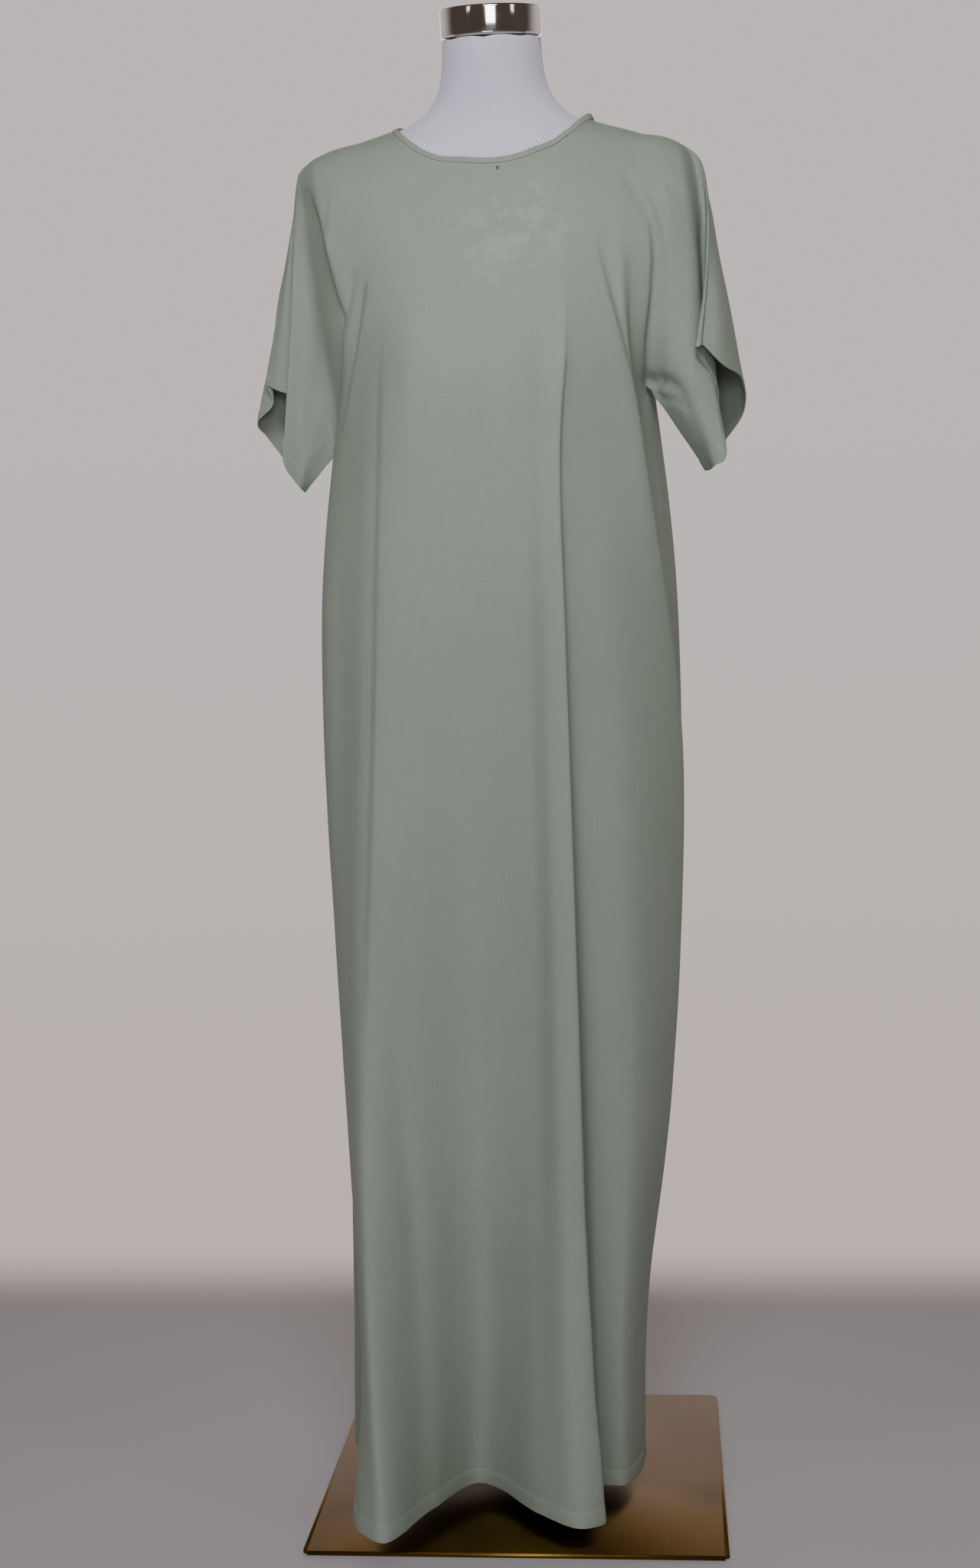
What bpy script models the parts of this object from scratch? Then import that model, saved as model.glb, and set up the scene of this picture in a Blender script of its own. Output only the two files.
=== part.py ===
"""Inner dress of an abaya set, worn by a limbless dress form on a square metal base.

Metres, +Z up, the front faces -Y, and the origin is the centre of the base plate's underside.
The tables below give their lengths in millimetres, in named columns.
"""

import math

import bmesh
import bpy
from mathutils import Matrix, Vector
from mathutils.bvhtree import BVHTree

MM = 0.001
GAP = 0.3 * MM
SEAM_GAP = 0.36 * MM
CLOTH_WALL = 1.2 * MM
SMOOTH_ANGLE = math.radians(40)

# How the cloth settles on the form, and how its wall turns in the folds
FORM_CLEARANCE = 1.5 * MM
FORM_REACH = 18 * MM
FORM_COVERED = (715 * MM, 1336 * MM)
LARGEST_PUSH = 4 * MM
SETTLE_PASSES = 14
SPREAD_ROUNDS = 2
MITRE_LIMIT = 2.4
MITRE_SOFTNESS = 0.03
SHORTEST_SPAN = 0.1 * MM

# Base, pole and neck cap of the stand
PLATE_SIDE = 400 * MM
PLATE_THICKNESS = 4 * MM
PLATE_CORNER_RADIUS = 4 * MM
SOCKET_RADIUS = 26 * MM
SOCKET_HEIGHT = 24 * MM
SOCKET_CHAMFER = 2 * MM
POLE_RADIUS = 12.5 * MM
POLE_TOP = 689.7 * MM
NECK_TOP = 1441.5 * MM
NECK_CENTRE_Y = -15 * MM
NECK_TILT = math.radians(12)
NECK_FOOT = 1361 * MM
NECK_BEND = 60 * MM
CAP_RADIUS = 49.5 * MM
CAP_HEIGHT = 27.5 * MM
CAP_EDGE = 3 * MM

# Neckline of the dress
NECK_HALF_WIDTH = 99.3 * MM
NECK_CENTRE_X = -1.2 * MM
NECK_POINT_HEIGHT = 1363 * MM
NECK_FRONT_DEPTH = 69 * MM
NECK_FRONT_DROP = 54 * MM
NECK_BACK_DEPTH = 66 * MM
NECK_BACK_DROP = -3 * MM
NECK_DIP = 1.6
NECK_DIP_SLANT = 0.6
NECKLINE_LOWEST = 1290 * MM
NECK_POINT_WIDTH = 0.05 * MM
BINDING_WIDTH = 6 * MM
BINDING_THICKNESS = 2.2 * MM
BINDING_CLEARANCE = 2.6 * MM

# Rows of cells down the cloth: shoulder to chest, chest to armpit, armpit to hem, sleeve end
TOP_ROWS = 4
CHEST_ROWS = 5
SKIRT_ROWS = 13
CUFF_ROWS = 3

# Cells across from the armhole line to the first fold, and from a sleeve's last fold to it
ARMHOLE_CELLS = 3
UNDERARM_CELLS = 2

# Dress form: a ring at each height
# height, half width, front, back, squareness
FORM_RINGS = (
    (690, 118, -66, 84, 2.2),
    (696, 140, -79, 101, 2.2),
    (712, 154, -88, 112, 2.2),
    (740, 162, -94, 122, 2.2),
    (790, 166, -98, 126, 2.2),
    (860, 146, -94, 110, 2.2),
    (920, 127, -88, 92, 2.2),
    (980, 117, -86, 82, 2.2),
    (1040, 123, -94, 86, 2.2),
    (1090, 129, -107, 94, 2.2),
    (1130, 135, -114, 100, 2.2),
    (1170, 143, -110, 105, 2.2),
    (1200, 154, -101, 105, 2.3),
    (1240, 169, -86, 101, 2.3),
    (1280, 181, -72, 91, 2.25),
    (1305, 186, -65, 80, 2.15),
    (1322, 182, -58, 71, 2.0),
    (1333, 171, -55, 64, 1.8),
    (1341, 156, -53, 60, 1.6),
    (1348, 136, -51, 57, 1.45),
    (1355, 111, -49.5, 55, 1.5),
    (1361, 91, -49, 54, 1.7),
    (1369, 74, -49.5, 52.5, 1.9),
    (1381, 62, -51, 48, 2.0),
    (1396, 53.5, -54, 43, 2.0),
    (1415, 49.5, -58, 37.5, 2.0),
    (1441.5, 49, -64, 34, 2.0),
)
FORM_SEGMENTS = 32
BUST_X = 72 * MM
BUST_HEIGHT = 1126 * MM
BUST_FORWARD = 27 * MM
BUST_WIDTH = 46 * MM
BUST_TALL = 55 * MM
BUST_BLEND = 30 * MM

# Shoulder seam: height at each distance from the middle
# distance, height
SHOULDER_SEAM = (
    (98, 1363.5),
    (110, 1358.5),
    (122, 1355.5),
    (137, 1352.5),
    (150, 1349),
    (163, 1345),
    (176, 1339),
    (184, 1335),
    (190, 1330.5),
    (196.5, 1324.5),
)

# Heights at which the fold tables below give x and y
HEIGHTS = (1240, 1180, 1130, 1040, 930, 790, 550, 360, 170, 20)
CHEST_HEIGHT = 1240
# Depth of the neckline beyond which the cloth leaves the top edge straight, not rounded
SEAM_ROLL = 40 * MM

# Folds of the front body, from the wearer's right side (-x) to the left side
# name, x on the top edge, cells to the next fold, x at each height, y at each height
FRONT_FOLDS = (
    ("flank", -150, 2,
     (-142, -143, -143, -161, -173, -176, -169, -158, -145, -156),
     (-70, -76, -74, -35, -38, -45, -70, -100, -140, -169)),
    ("left_hollow", -122, 2,
     (-119, -120, -122, -136, -148, -152, -157, -152, -142, -142),
     (-80, -92, -97, -84, -86, -92, -112, -140, -170, -196)),
    ("left_ridge", -100.5, 3,
     (-96, -97, -98, -105, -111, -117, -129, -134, -130, -120),
     (-88, -108, -125, -133, -135, -140, -155, -175, -195, -211)),
    ("left_face", -64, 3,
     (-66, -68, -70, -72, -75, -78, -84, -86, -84, -82),
     (-91, -121, -145, -143, -138, -137, -142, -149, -150, -140)),
    ("middle_hollow", -14, 3,
     (-15, -15, -15, -18, -20, -22, -26, -30, -34, -42),
     (-92, -119, -141, -138, -128, -122, -117, -112, -100, -84)),
    ("right_face", 34, 2,
     (28, 29, 30, 28, 28, 28, 27, 25, 22, 22),
     (-91, -119, -142, -139, -131, -127, -126, -131, -139, -146)),
    ("ridge_face", 62, 2,
     (50, 52, 52, 47, 47, 48, 50, 52, 55, 60),
     (-90, -121, -147, -144, -142, -146, -155, -166, -176, -179)),
    ("right_ridge", 84, 3,
     (66, 69, 71, 62, 63, 65, 68, 70, 75, 84),
     (-88, -120, -147, -146, -148, -151, -158, -165, -172, -167)),
    ("right_hollow", 98.1, 2,
     (81, 81, 80, 71, 71, 74, 78, 80, 81, 79),
     (-85, -114, -139, -127, -116, -108, -101, -95, -90, -86)),
    ("right_plain", 104, 2,
     (96, 97, 100, 108, 113, 123, 122, 116, 104, 102),
     (-82, -105, -125, -110, -103, -99, -97, -94, -92, -83)),
    ("side_fold", 110, 2,
     (113, 117, 122, 139, 154, 171, 166, 151, 124, 119),
     (-78, -92, -104, -88, -70, -45, -35, -30, -34, -41)),
    ("side_return", 116, 2,
     (136, 138, 138, 134, 146, 164, 160, 147, 125, 122),
     (-71, -75, -76, -50, -36, -20, -15, -8, -5, -4)),
)

# Folds of the back body, in the same order and with the same top edge as the front's
# name, x on the top edge, cells to the next fold, x at each height, y at each height
BACK_FOLDS = (
    ("flank", -150, 2,
     (-150, -155, -160, -168, -174, -177, -178, -180, -182, -184),
     (74, 78, 74, 56, 54, 60, 52, 45, 38, 30)),
    ("left_side", -122, 2,
     (-128, -133, -138, -146, -149, -153, -158, -162, -165, -168),
     (98, 102, 102, 98, 98, 110, 106, 104, 100, 98)),
    ("left_hollow", -100.5, 3,
     (-100, -104, -107, -110, -112, -113, -112, -110, -108, -106),
     (108, 112, 112, 112, 112, 124, 118, 112, 104, 98)),
    ("left_ridge", -62, 3,
     (-62, -63, -64, -66, -68, -70, -72, -74, -75, -76),
     (112, 116, 118, 120, 122, 136, 142, 150, 158, 164)),
    ("middle_hollow", -14, 3,
     (-14, -15, -15, -16, -17, -18, -19, -20, -20, -20),
     (112, 116, 118, 119, 120, 133, 132, 128, 124, 120)),
    ("right_ridge", 34, 2,
     (32, 32, 32, 31, 30, 29, 28, 28, 28, 28),
     (112, 116, 118, 120, 122, 136, 143, 150, 158, 166)),
    ("right_hollow", 64, 2,
     (60, 61, 62, 64, 64, 62, 60, 58, 57, 56),
     (111, 115, 117, 118, 118, 131, 126, 120, 113, 108)),
    ("side_ridge", 84, 3,
     (84, 87, 90, 94, 96, 94, 90, 88, 86, 84),
     (109, 112, 113, 114, 114, 127, 131, 137, 143, 148)),
    ("side_hollow", 98.1, 2,
     (102, 108, 112, 118, 124, 124, 117, 108, 101, 98),
     (104, 106, 105, 103, 101, 112, 109, 107, 105, 103)),
    ("right_side", 104, 2,
     (118, 123, 128, 138, 146, 148, 140, 128, 113, 108),
     (94, 94, 92, 88, 84, 94, 92, 92, 93, 94)),
    ("right_flank", 110, 2,
     (136, 138, 138, 147, 160, 166, 158, 143, 119, 114),
     (88, 82, 76, 62, 54, 64, 62, 64, 66, 68)),
    ("right_return", 116, 2,
     (153, 152, 146, 151, 165, 170, 162, 148, 122, 118),
     (76, 67, 55, 34, 28, 34, 34, 40, 46, 50)),
)

# Armhole line, where the sleeve's fold meets the body, down to the armpit
# height, front x, front y, back x, back y
LEFT_ARMHOLE = (
    (1240, -165, -56, -168, 54),
    (1180, -151, -58, -164, 58),
    (1120, -155, -46, -165, 44),
    (1075, -161, -26, -167, 14),
    (1047, -164, -8, -164, -8),
)
RIGHT_ARMHOLE = (
    (1240, 156, -61, 167, 67),
    (1190, 153, -61, 163, 58),
    (1150, 149, -55, 152, 36),
    (1120, 147, -42, 146, 8),
    (1099, 145, -22, 145, -22),
)
LEFT_ARMHOLE_TOP_X = -180
RIGHT_ARMHOLE_TOP_X = 122
# Distance below the armpit at which the side seam takes over
ARMPIT_BLEND = 20

# Side seams below the armpit
# height, left x, left y, right x, right y
SIDE_SEAMS = (
    (1040, -165, -6, 143, -12),
    (930, -173, 4, 151, -3),
    (790, -176, 10, 162, 3),
    (550, -170, 2, 154, 9),
    (360, -163, -10, 141, 15),
    (170, -157, -24, 121, 24),
    (20, -154, -40, 119, 27),
)

# Height of the hem under each fold, front and back, from side seam to side seam
FRONT_HEM = (21, 20, 19, 18, 20, 22, 22, 20, 19, 21, 21, 21, 21, 22)
BACK_HEM = (21, 21, 20, 20, 19, 20, 19, 20, 19, 20, 21, 21, 21, 22)

# Sleeves: one row a fold, from the overarm seam to the armhole line
# name, cells from the line before, x, y and height at the shoulder, upper arm, middle, armpit and hem
LEFT_OVERARM = (
    (-196.5, 0, 1324.5), (-203, -4, 1285), (-213, -7, 1240), (-225, -9, 1185), (-239.5, -10, 1119),
)
LEFT_SLEEVE_FRONT = (
    ("flap", 2,
     ((-195, 0, 1326), (-202, -9, 1284), (-209, -14, 1238), (-217, -16, 1179), (-227, -16, 1112))),
    ("valley", 2,
     ((-193, 0, 1328), (-199, -13, 1282), (-200, -14, 1236), (-201, -14, 1172), (-206, -14, 1101))),
    ("crest", 2,
     ((-190.5, 0, 1330), (-198.5, -29, 1288), (-202, -42, 1232), (-206.5, -47, 1155), (-218, -45, 1039))),
    ("face", 2,
     ((-187.5, 0, 1332.5), (-191, -38, 1285), (-190, -54, 1222), (-191, -54, 1138), (-208, -38, 1019))),
    ("fold", 2,
     ((-184, 0, 1335), (-184, -44, 1279), (-173, -60, 1200), (-176, -50, 1112), (-203, -20, 1012))),
)
LEFT_SLEEVE_BACK = (
    ("leaf", 2,
     ((-195, 0, 1326), (-204, 2, 1285), (-214.5, 1, 1239), (-227.5, 0, 1182), (-232, -5, 1099))),
    ("edge", 2,
     ((-193, 0, 1328), (-204.5, 9, 1283), (-214.5, 6, 1236), (-228.5, 4, 1176), (-251, 6, 1081))),
    ("outer", 2,
     ((-190.5, 0, 1330), (-202, 22, 1282), (-210, 28, 1228), (-222, 34, 1160), (-245, 36, 1070))),
    ("face", 2,
     ((-187.5, 0, 1332.5), (-197, 38, 1279), (-200, 50, 1215), (-206, 54, 1140), (-231, 45, 1049))),
    ("inner", 2,
     ((-184, 0, 1335), (-186, 48, 1276), (-184, 62, 1198), (-186, 50, 1108), (-214, 24, 1022))),
)
LEFT_UNDERARM_END = (-200, 0, 1008)

RIGHT_OVERARM = (
    (196.5, 0, 1324.5), (207.5, -9, 1290), (208, -31, 1233), (204, -50, 1181), (198.5, -58, 1132.5),
)
RIGHT_SLEEVE_FRONT = (
    ("tip", 1,
     ((193.5, 0, 1327.5), (207, -14, 1288), (206.3, -38, 1230), (201.7, -55.5, 1179), (194, -64, 1129.5))),
    ("return", 1,
     ((190.5, 0, 1330), (205.5, -17.5, 1287), (203.8, -36, 1228), (199.3, -52.5, 1177),
      (191.3, -60.5, 1128.5))),
    ("valley", 2,
     ((186.5, 0, 1333), (203, -17, 1285), (205, -19, 1224), (208.5, -32, 1166), (212, -34, 1094))),
    ("tuck", 1,
     ((183, 0, 1335.5), (199, -18, 1284), (200.5, -18, 1220), (203.5, -25, 1158), (214, -26, 1078))),
    ("crest", 2,
     ((176, 0, 1339), (186.5, -43, 1284), (194, -46, 1214), (200, -39, 1148), (219, -42, 1024))),
    ("face", 2,
     ((164, 0, 1344.5), (177, -49, 1286), (181, -57, 1212), (183, -53, 1136), (209, -38, 1019))),
    ("fold", 2,
     ((146, 0, 1350), (164, -56, 1284), (168, -63, 1204), (163, -50, 1124), (204, -22, 1016))),
)
RIGHT_SLEEVE_BACK = (
    ("turn", 2,
     ((190.5, 0, 1330), (208, 6, 1288), (213.5, -17, 1232), (216, -42, 1178), (217, -48, 1115))),
    ("edge", 2,
     ((186.5, 0, 1333), (208.5, 18, 1286), (218, 3, 1228), (228, -6, 1172), (238, -8, 1105))),
    ("outer", 3,
     ((176, 0, 1339), (203, 32, 1283), (215, 26, 1222), (227, 24, 1160), (241, 28, 1077))),
    ("face", 2,
     ((164, 0, 1344.5), (192, 48, 1280), (201, 54, 1210), (207, 56, 1130), (222, 43, 1050))),
    ("inner", 2,
     ((146, 0, 1350), (174, 66, 1278), (179, 67, 1196), (180, 50, 1118), (207, 14, 1025))),
)
RIGHT_UNDERARM_END = (200, -10, 1017)
SLEEVE_STATIONS = (0.0, 1 / 3, 2 / 3, 1.0, 1.3)
SHOULDER_ROUNDING = 0.2

# Colours and finishes: colour, roughness, metallic
SAGE_POLYESTER = ("sage_polyester_crepe", (0.255, 0.315, 0.262), 0.62, 0.0)
WHITE_JERSEY = ("white_ribbed_jersey", (0.68, 0.66, 0.72), 0.85, 0.0)
CHROMED_STEEL = ("chromed_steel", (0.78, 0.77, 0.76), 0.08, 1.0)
BRUSHED_BRASS = ("brushed_brass_plate", (0.36, 0.25, 0.12), 0.35, 1.0)


def clear_scene():
    for item in list(bpy.data.objects):
        bpy.data.objects.remove(item, do_unlink=True)


def finish_material(spec):
    name, colour, roughness, metallic = spec
    material = bpy.data.materials.get(name) or bpy.data.materials.new(name)
    material.use_nodes = True
    shader = material.node_tree.nodes["Principled BSDF"]
    shader.inputs["Base Color"].default_value = (*colour, 1.0)
    shader.inputs["Roughness"].default_value = roughness
    shader.inputs["Metallic"].default_value = metallic
    return material


def add_object(name, vertices, faces, spec, smooth=True):
    mesh = bpy.data.meshes.new(name)
    mesh.from_pydata([tuple(v) for v in vertices], [], faces)
    mesh.update()
    if smooth:
        mesh.shade_smooth()
        mesh.set_sharp_from_angle(angle=SMOOTH_ANGLE)
    mesh.materials.append(finish_material(spec))
    item = bpy.data.objects.new(name, mesh)
    bpy.context.scene.collection.objects.link(item)
    return item


def link_mesh(name, mesh, spec, smooth=True):
    data = bpy.data.meshes.new(name)
    mesh.to_mesh(data)
    mesh.free()
    if smooth:
        data.shade_smooth()
        data.set_sharp_from_angle(angle=SMOOTH_ANGLE)
    data.materials.append(finish_material(spec))
    item = bpy.data.objects.new(name, data)
    bpy.context.scene.collection.objects.link(item)
    return item


def spline(knots, values, at):
    """Smooth curve through vectors at rising knots, read at one place."""
    last = len(knots) - 1
    at = min(max(at, knots[0]), knots[last])
    k = 0
    while k < last - 1 and at > knots[k + 1]:
        k += 1
    span = knots[k + 1] - knots[k]

    def slope(i):
        if i == 0:
            return (values[1] - values[0]) / (knots[1] - knots[0])
        if i == last:
            return (values[last] - values[last - 1]) / (knots[last] - knots[last - 1])
        before = (values[i] - values[i - 1]) / (knots[i] - knots[i - 1])
        after = (values[i + 1] - values[i]) / (knots[i + 1] - knots[i])
        width_before = knots[i] - knots[i - 1]
        width_after = knots[i + 1] - knots[i]
        return (before * width_after + after * width_before) / (width_before + width_after)

    t = (at - knots[k]) / span
    start, end = values[k], values[k + 1]
    return (
        start * (2 * t**3 - 3 * t**2 + 1)
        + slope(k) * span * (t**3 - 2 * t**2 + t)
        + end * (3 * t**2 - 2 * t**3)
        + slope(k + 1) * span * (t**3 - t**2)
    )


def across(points, cells):
    """Points along a smooth curve through the fold points, with so many cells between each two."""
    knots = [0.0]
    for a, b in zip(points, points[1:]):
        knots.append(knots[-1] + max((b - a).length, SHORTEST_SPAN) ** 0.5)
    out = [points[0].copy()]
    for k, count in enumerate(cells):
        for step in range(1, count + 1):
            at = knots[k] + (knots[k + 1] - knots[k]) * step / count
            out.append(spline(knots, points, at))
    return out


def read_table(table, at):
    """Value of a two-column table at a place, in straight steps."""
    for (a, low), (b, high) in zip(table, table[1:]):
        if at <= b:
            return low + (high - low) * (at - a) / (b - a)
    return table[-1][1]


def seam_height(x):
    return read_table(SHOULDER_SEAM, abs(x) / MM) * MM


def neckline(x, depth, drop):
    """Point of the neckline's front or back half above a given x, dipping sooner on the left of it."""
    along = (x - NECK_CENTRE_X) / NECK_HALF_WIDTH
    low = math.sqrt(max(0.0, 1 - along * along))
    dip = NECK_DIP + NECK_DIP_SLANT * along
    return Vector((x, depth * low, NECK_POINT_HEIGHT - drop * low**dip))


def top_point(x, depth, drop):
    """Top edge of a panel: neckline in the middle, shoulder seam beyond it."""
    if abs(x - NECK_CENTRE_X) < NECK_HALF_WIDTH - NECK_POINT_WIDTH:
        return neckline(x, depth, drop)
    return Vector((x, 0.0, seam_height(x)))


def fold_line(top, heights, xs, ys):
    """Function of the row, and the row's lowest height, that gives a fold's point."""
    knots = [-h * MM for h in heights]
    points = [Vector((x, y, h)) * MM for x, y, h in zip(xs, ys, heights)]
    on_seam = 1 - min(1.0, abs(top.y) / SEAM_ROLL)

    def point(row, armpit_height, hem_height):
        chest = spline(knots, points, -CHEST_HEIGHT * MM)
        if row <= TOP_ROWS:
            q = row / TOP_ROWS
            forward = (1 - on_seam) * q + on_seam * math.sin(q * math.pi / 2)
            down = (1 - on_seam) * q + on_seam * (1 - math.cos(q * math.pi / 2))
            return Vector((
                top.x + (chest.x - top.x) * q,
                top.y + (chest.y - top.y) * forward,
                top.z + (chest.z - top.z) * down,
            ))
        if row <= TOP_ROWS + CHEST_ROWS:
            q = (row - TOP_ROWS) / CHEST_ROWS
            height = CHEST_HEIGHT * MM + (armpit_height - CHEST_HEIGHT * MM) * q
        else:
            q = (row - TOP_ROWS - CHEST_ROWS) / SKIRT_ROWS
            height = armpit_height + (hem_height - armpit_height) * q
        place = spline(knots, points, -height)
        place.z = height
        return place

    return point


def edge_line(top, armhole, side, column):
    """Fold line down the armhole and on, below the armpit, down the side seam."""
    shift = 1 if column == "front" else 3
    seam_shift = 1 if side == "left" else 3
    upper = [(row[0], row[shift], row[shift + 1]) for row in armhole]
    seam_top = armhole[-1][0] - ARMPIT_BLEND
    lower = upper[-1:]
    lower += [(row[0], row[seam_shift], row[seam_shift + 1]) for row in SIDE_SEAMS if row[0] < seam_top]
    above = fold_line(top, *zip(*upper))
    below = fold_line(top, *zip(*lower))

    def point(row, armpit_height, hem_height):
        line = above if row <= TOP_ROWS + CHEST_ROWS else below
        return line(row, armpit_height, hem_height)

    return point


def body_grid(folds, hem, column, depth, drop):
    """Rows of points from the left armhole line and side seam to the right ones."""
    lines = [edge_line(top_point(LEFT_ARMHOLE_TOP_X * MM, depth, drop), LEFT_ARMHOLE, "left", column)]
    cells = [ARMHOLE_CELLS]
    for _, top_x, count, xs, ys in folds:
        lines.append(fold_line(top_point(top_x * MM, depth, drop), HEIGHTS, xs, ys))
        cells.append(count)
    lines.append(edge_line(top_point(RIGHT_ARMHOLE_TOP_X * MM, depth, drop), RIGHT_ARMHOLE, "right", column))
    left_armpit = LEFT_ARMHOLE[-1][0] * MM
    right_armpit = RIGHT_ARMHOLE[-1][0] * MM
    rows = []
    for row in range(TOP_ROWS + CHEST_ROWS + SKIRT_ROWS + 1):
        points = []
        for index, line in enumerate(lines):
            share = index / (len(lines) - 1)
            armpit = left_armpit + (right_armpit - left_armpit) * share
            points.append(line(row, armpit, hem[index] * MM))
        if row == 0:
            rows.append(top_edge(points, cells, depth, drop))
        else:
            rows.append(across(points, cells))
    return rows


def neck_angle(x):
    """Angle round the neckline above a given x, none at the left neck point."""
    return math.acos(max(-1.0, min(1.0, (x - NECK_CENTRE_X) / NECK_HALF_WIDTH)))


def top_edge(points, cells, depth, drop):
    """The top row keeps to the seam and, evenly by angle, to the neckline between the folds."""
    out = [points[0].copy()]
    for a, b, count in zip(points, points[1:], cells):
        start, end = neck_angle(a.x), neck_angle(b.x)
        for step in range(1, count + 1):
            share = step / count
            x = a.x + (b.x - a.x) * share
            if step < count and abs(x - NECK_CENTRE_X) < NECK_HALF_WIDTH:
                x = NECK_CENTRE_X + NECK_HALF_WIDTH * math.cos(start + (end - start) * share)
            out.append(top_point(x, depth, drop))
    return out


def sleeve_point(line, at):
    """Point of a sleeve's fold line, rounded out over the shoulder."""
    place = spline(SLEEVE_STATIONS, line, at)
    share = at / SLEEVE_STATIONS[1]
    if share < 1:
        swell = SHOULDER_ROUNDING * 4 * share * (1 - share)
        place.y += (line[1].y - line[0].y) * swell
        place.z += (line[0].z - line[1].z) * swell
    return place


def sleeve_grid(overarm, folds, armhole_line, underarm_end):
    """Rows of points from the overarm seam to the armhole line, then to the underarm seam."""
    joined = TOP_ROWS + CHEST_ROWS
    lines = [[Vector(p) * MM for p in overarm]]
    lines += [[Vector(p) * MM for p in points] for _, _, points in folds]
    cells = [count for _, count, _ in folds] + [UNDERARM_CELLS]
    armpit = armhole_line[joined]
    end = Vector(underarm_end) * MM
    rows = []
    for row in range(joined + CUFF_ROWS + 1):
        if row <= joined:
            at = row / joined
            last = armhole_line[row]
        else:
            share = (row - joined) / CUFF_ROWS
            at = 1 + (SLEEVE_STATIONS[-1] - 1) * share
            last = armpit.lerp(end, share)
        points = [sleeve_point(line, at) for line in lines] + [last]
        if row == 0:
            out = [points[0].copy()]
            for a, b, count in zip(points, points[1:], cells):
                for step in range(1, count + 1):
                    x = a.x + (b.x - a.x) * step / count
                    out.append(Vector((x, 0.0, seam_height(x))))
            rows.append(out)
        else:
            rows.append(across(points, cells))
    return rows


class Sheet:
    """Points of the whole dress, welded where its grids meet, and the faces of each panel."""

    def __init__(self):
        self.points = []
        self.panels = {}
        self.lookup = {}

    def index(self, place):
        key = tuple(round(c, 6) for c in place)
        if key not in self.lookup:
            self.lookup[key] = len(self.points)
            self.points.append(Vector(place))
        return self.lookup[key]

    def add_grid(self, panel, rows, flip):
        faces = self.panels.setdefault(panel, [])
        for upper, lower in zip(rows, rows[1:]):
            for k in range(len(upper) - 1):
                corner = [self.index(p) for p in (upper[k], lower[k], lower[k + 1], upper[k + 1])]
                if flip:
                    corner.reverse()
                faces += self.triangles(list(dict.fromkeys(corner)))

    def triangles(self, corner):
        """Cut a cell along its shorter diagonal, so that both sides of the wall agree."""
        if len(corner) < 4:
            return [corner] if len(corner) == 3 else []
        a, b, c, d = corner
        if (self.points[a] - self.points[c]).length <= (self.points[b] - self.points[d]).length:
            return [[a, b, c], [a, c, d]]
        return [[a, b, d], [b, c, d]]

    def all_faces(self):
        return [face for faces in self.panels.values() for face in faces]

    def face_normals(self):
        """Each face with its unit normal."""
        out = []
        for face in self.all_faces():
            a, b, c = (self.points[i] for i in face)
            out.append((face, (b - a).cross(c - a).normalized()))
        return out

    def normals(self):
        """Normal of each point, its faces weighed by their angle there."""
        total = [Vector() for _ in self.points]
        for face, normal in self.face_normals():
            for k, i in enumerate(face):
                ahead = self.points[face[(k + 1) % 3]] - self.points[i]
                behind = self.points[face[k - 1]] - self.points[i]
                total[i] += normal * ahead.angle(behind, 0.0)
        return [normal.normalized() for normal in total]

    def inward(self, normals):
        """Step from each point to the wall's inner side that keeps the wall's thickness in the folds."""
        square = [Matrix.Identity(3) * MITRE_SOFTNESS for _ in self.points]
        total = [normal * MITRE_SOFTNESS for normal in normals]
        for face, normal in self.face_normals():
            for k, i in enumerate(face):
                ahead = self.points[face[(k + 1) % 3]] - self.points[i]
                behind = self.points[face[k - 1]] - self.points[i]
                weight = ahead.angle(behind, 0.0) / math.pi
                for row in range(3):
                    square[i][row] += normal * (normal[row] * weight)
                total[i] += normal * weight
        out = []
        for matrix, side in zip(square, total):
            step = matrix.inverted() @ side
            length = min(MITRE_LIMIT, max(1.0, step.length))
            out.append(step.normalized() * (-CLOTH_WALL * length))
        return out

    def neighbours(self):
        near = [set() for _ in self.points]
        for face in self.all_faces():
            for i in face:
                near[i].update(face)
        return near


def border_edges(faces):
    """Edges with a face on one side only, in the direction of their face."""
    count = {}
    for face in faces:
        for a, b in zip(face, face[1:] + face[:1]):
            count.setdefault((min(a, b), max(a, b)), []).append((a, b))
    return [ends[0] for ends in count.values() if len(ends) == 1]


def sheet_samples(sheet):
    """Places on the sheet, each with the points that carry it."""
    samples = [(place, (i,)) for i, place in enumerate(sheet.points)]
    for face in sheet.all_faces():
        places = [sheet.points[i] for i in face]
        samples.append((sum(places, Vector()) / len(places), tuple(face)))
        for a, b in zip(face, face[1:] + face[:1]):
            samples.append(((sheet.points[a] + sheet.points[b]) / 2, (a, b)))
    return samples


def push_off_form(sheet, form_tree, form_points, clearance):
    """Move the sheet out, along its own normals, until it clears the form everywhere."""
    faces = sheet.all_faces()
    near = sheet.neighbours()
    for _ in range(SETTLE_PASSES):
        push = [0.0 for _ in sheet.points]
        for place, indices in sheet_samples(sheet):
            spot, normal, _, distance = form_tree.find_nearest(place)
            if distance > FORM_REACH:
                continue
            lack = min(LARGEST_PUSH, clearance - (place - spot).dot(normal))
            for i in indices:
                push[i] = max(push[i], lack)
        sheet_tree = BVHTree.FromPolygons(sheet.points, faces)
        for place in form_points:
            spot, normal, face, _ = sheet_tree.find_nearest(place)
            lack = clearance - (spot - place).dot(normal)
            if lack < FORM_REACH:
                for i in faces[face]:
                    push[i] = max(push[i], min(LARGEST_PUSH, lack))
        if max(push) <= 0:
            break
        for _ in range(SPREAD_ROUNDS):
            push = [max(push[i], sum(push[j] for j in near[i]) / len(near[i])) for i in range(len(push))]
        normals = sheet.normals()
        sheet.points = [p + n * amount for p, n, amount in zip(sheet.points, normals, push)]


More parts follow.
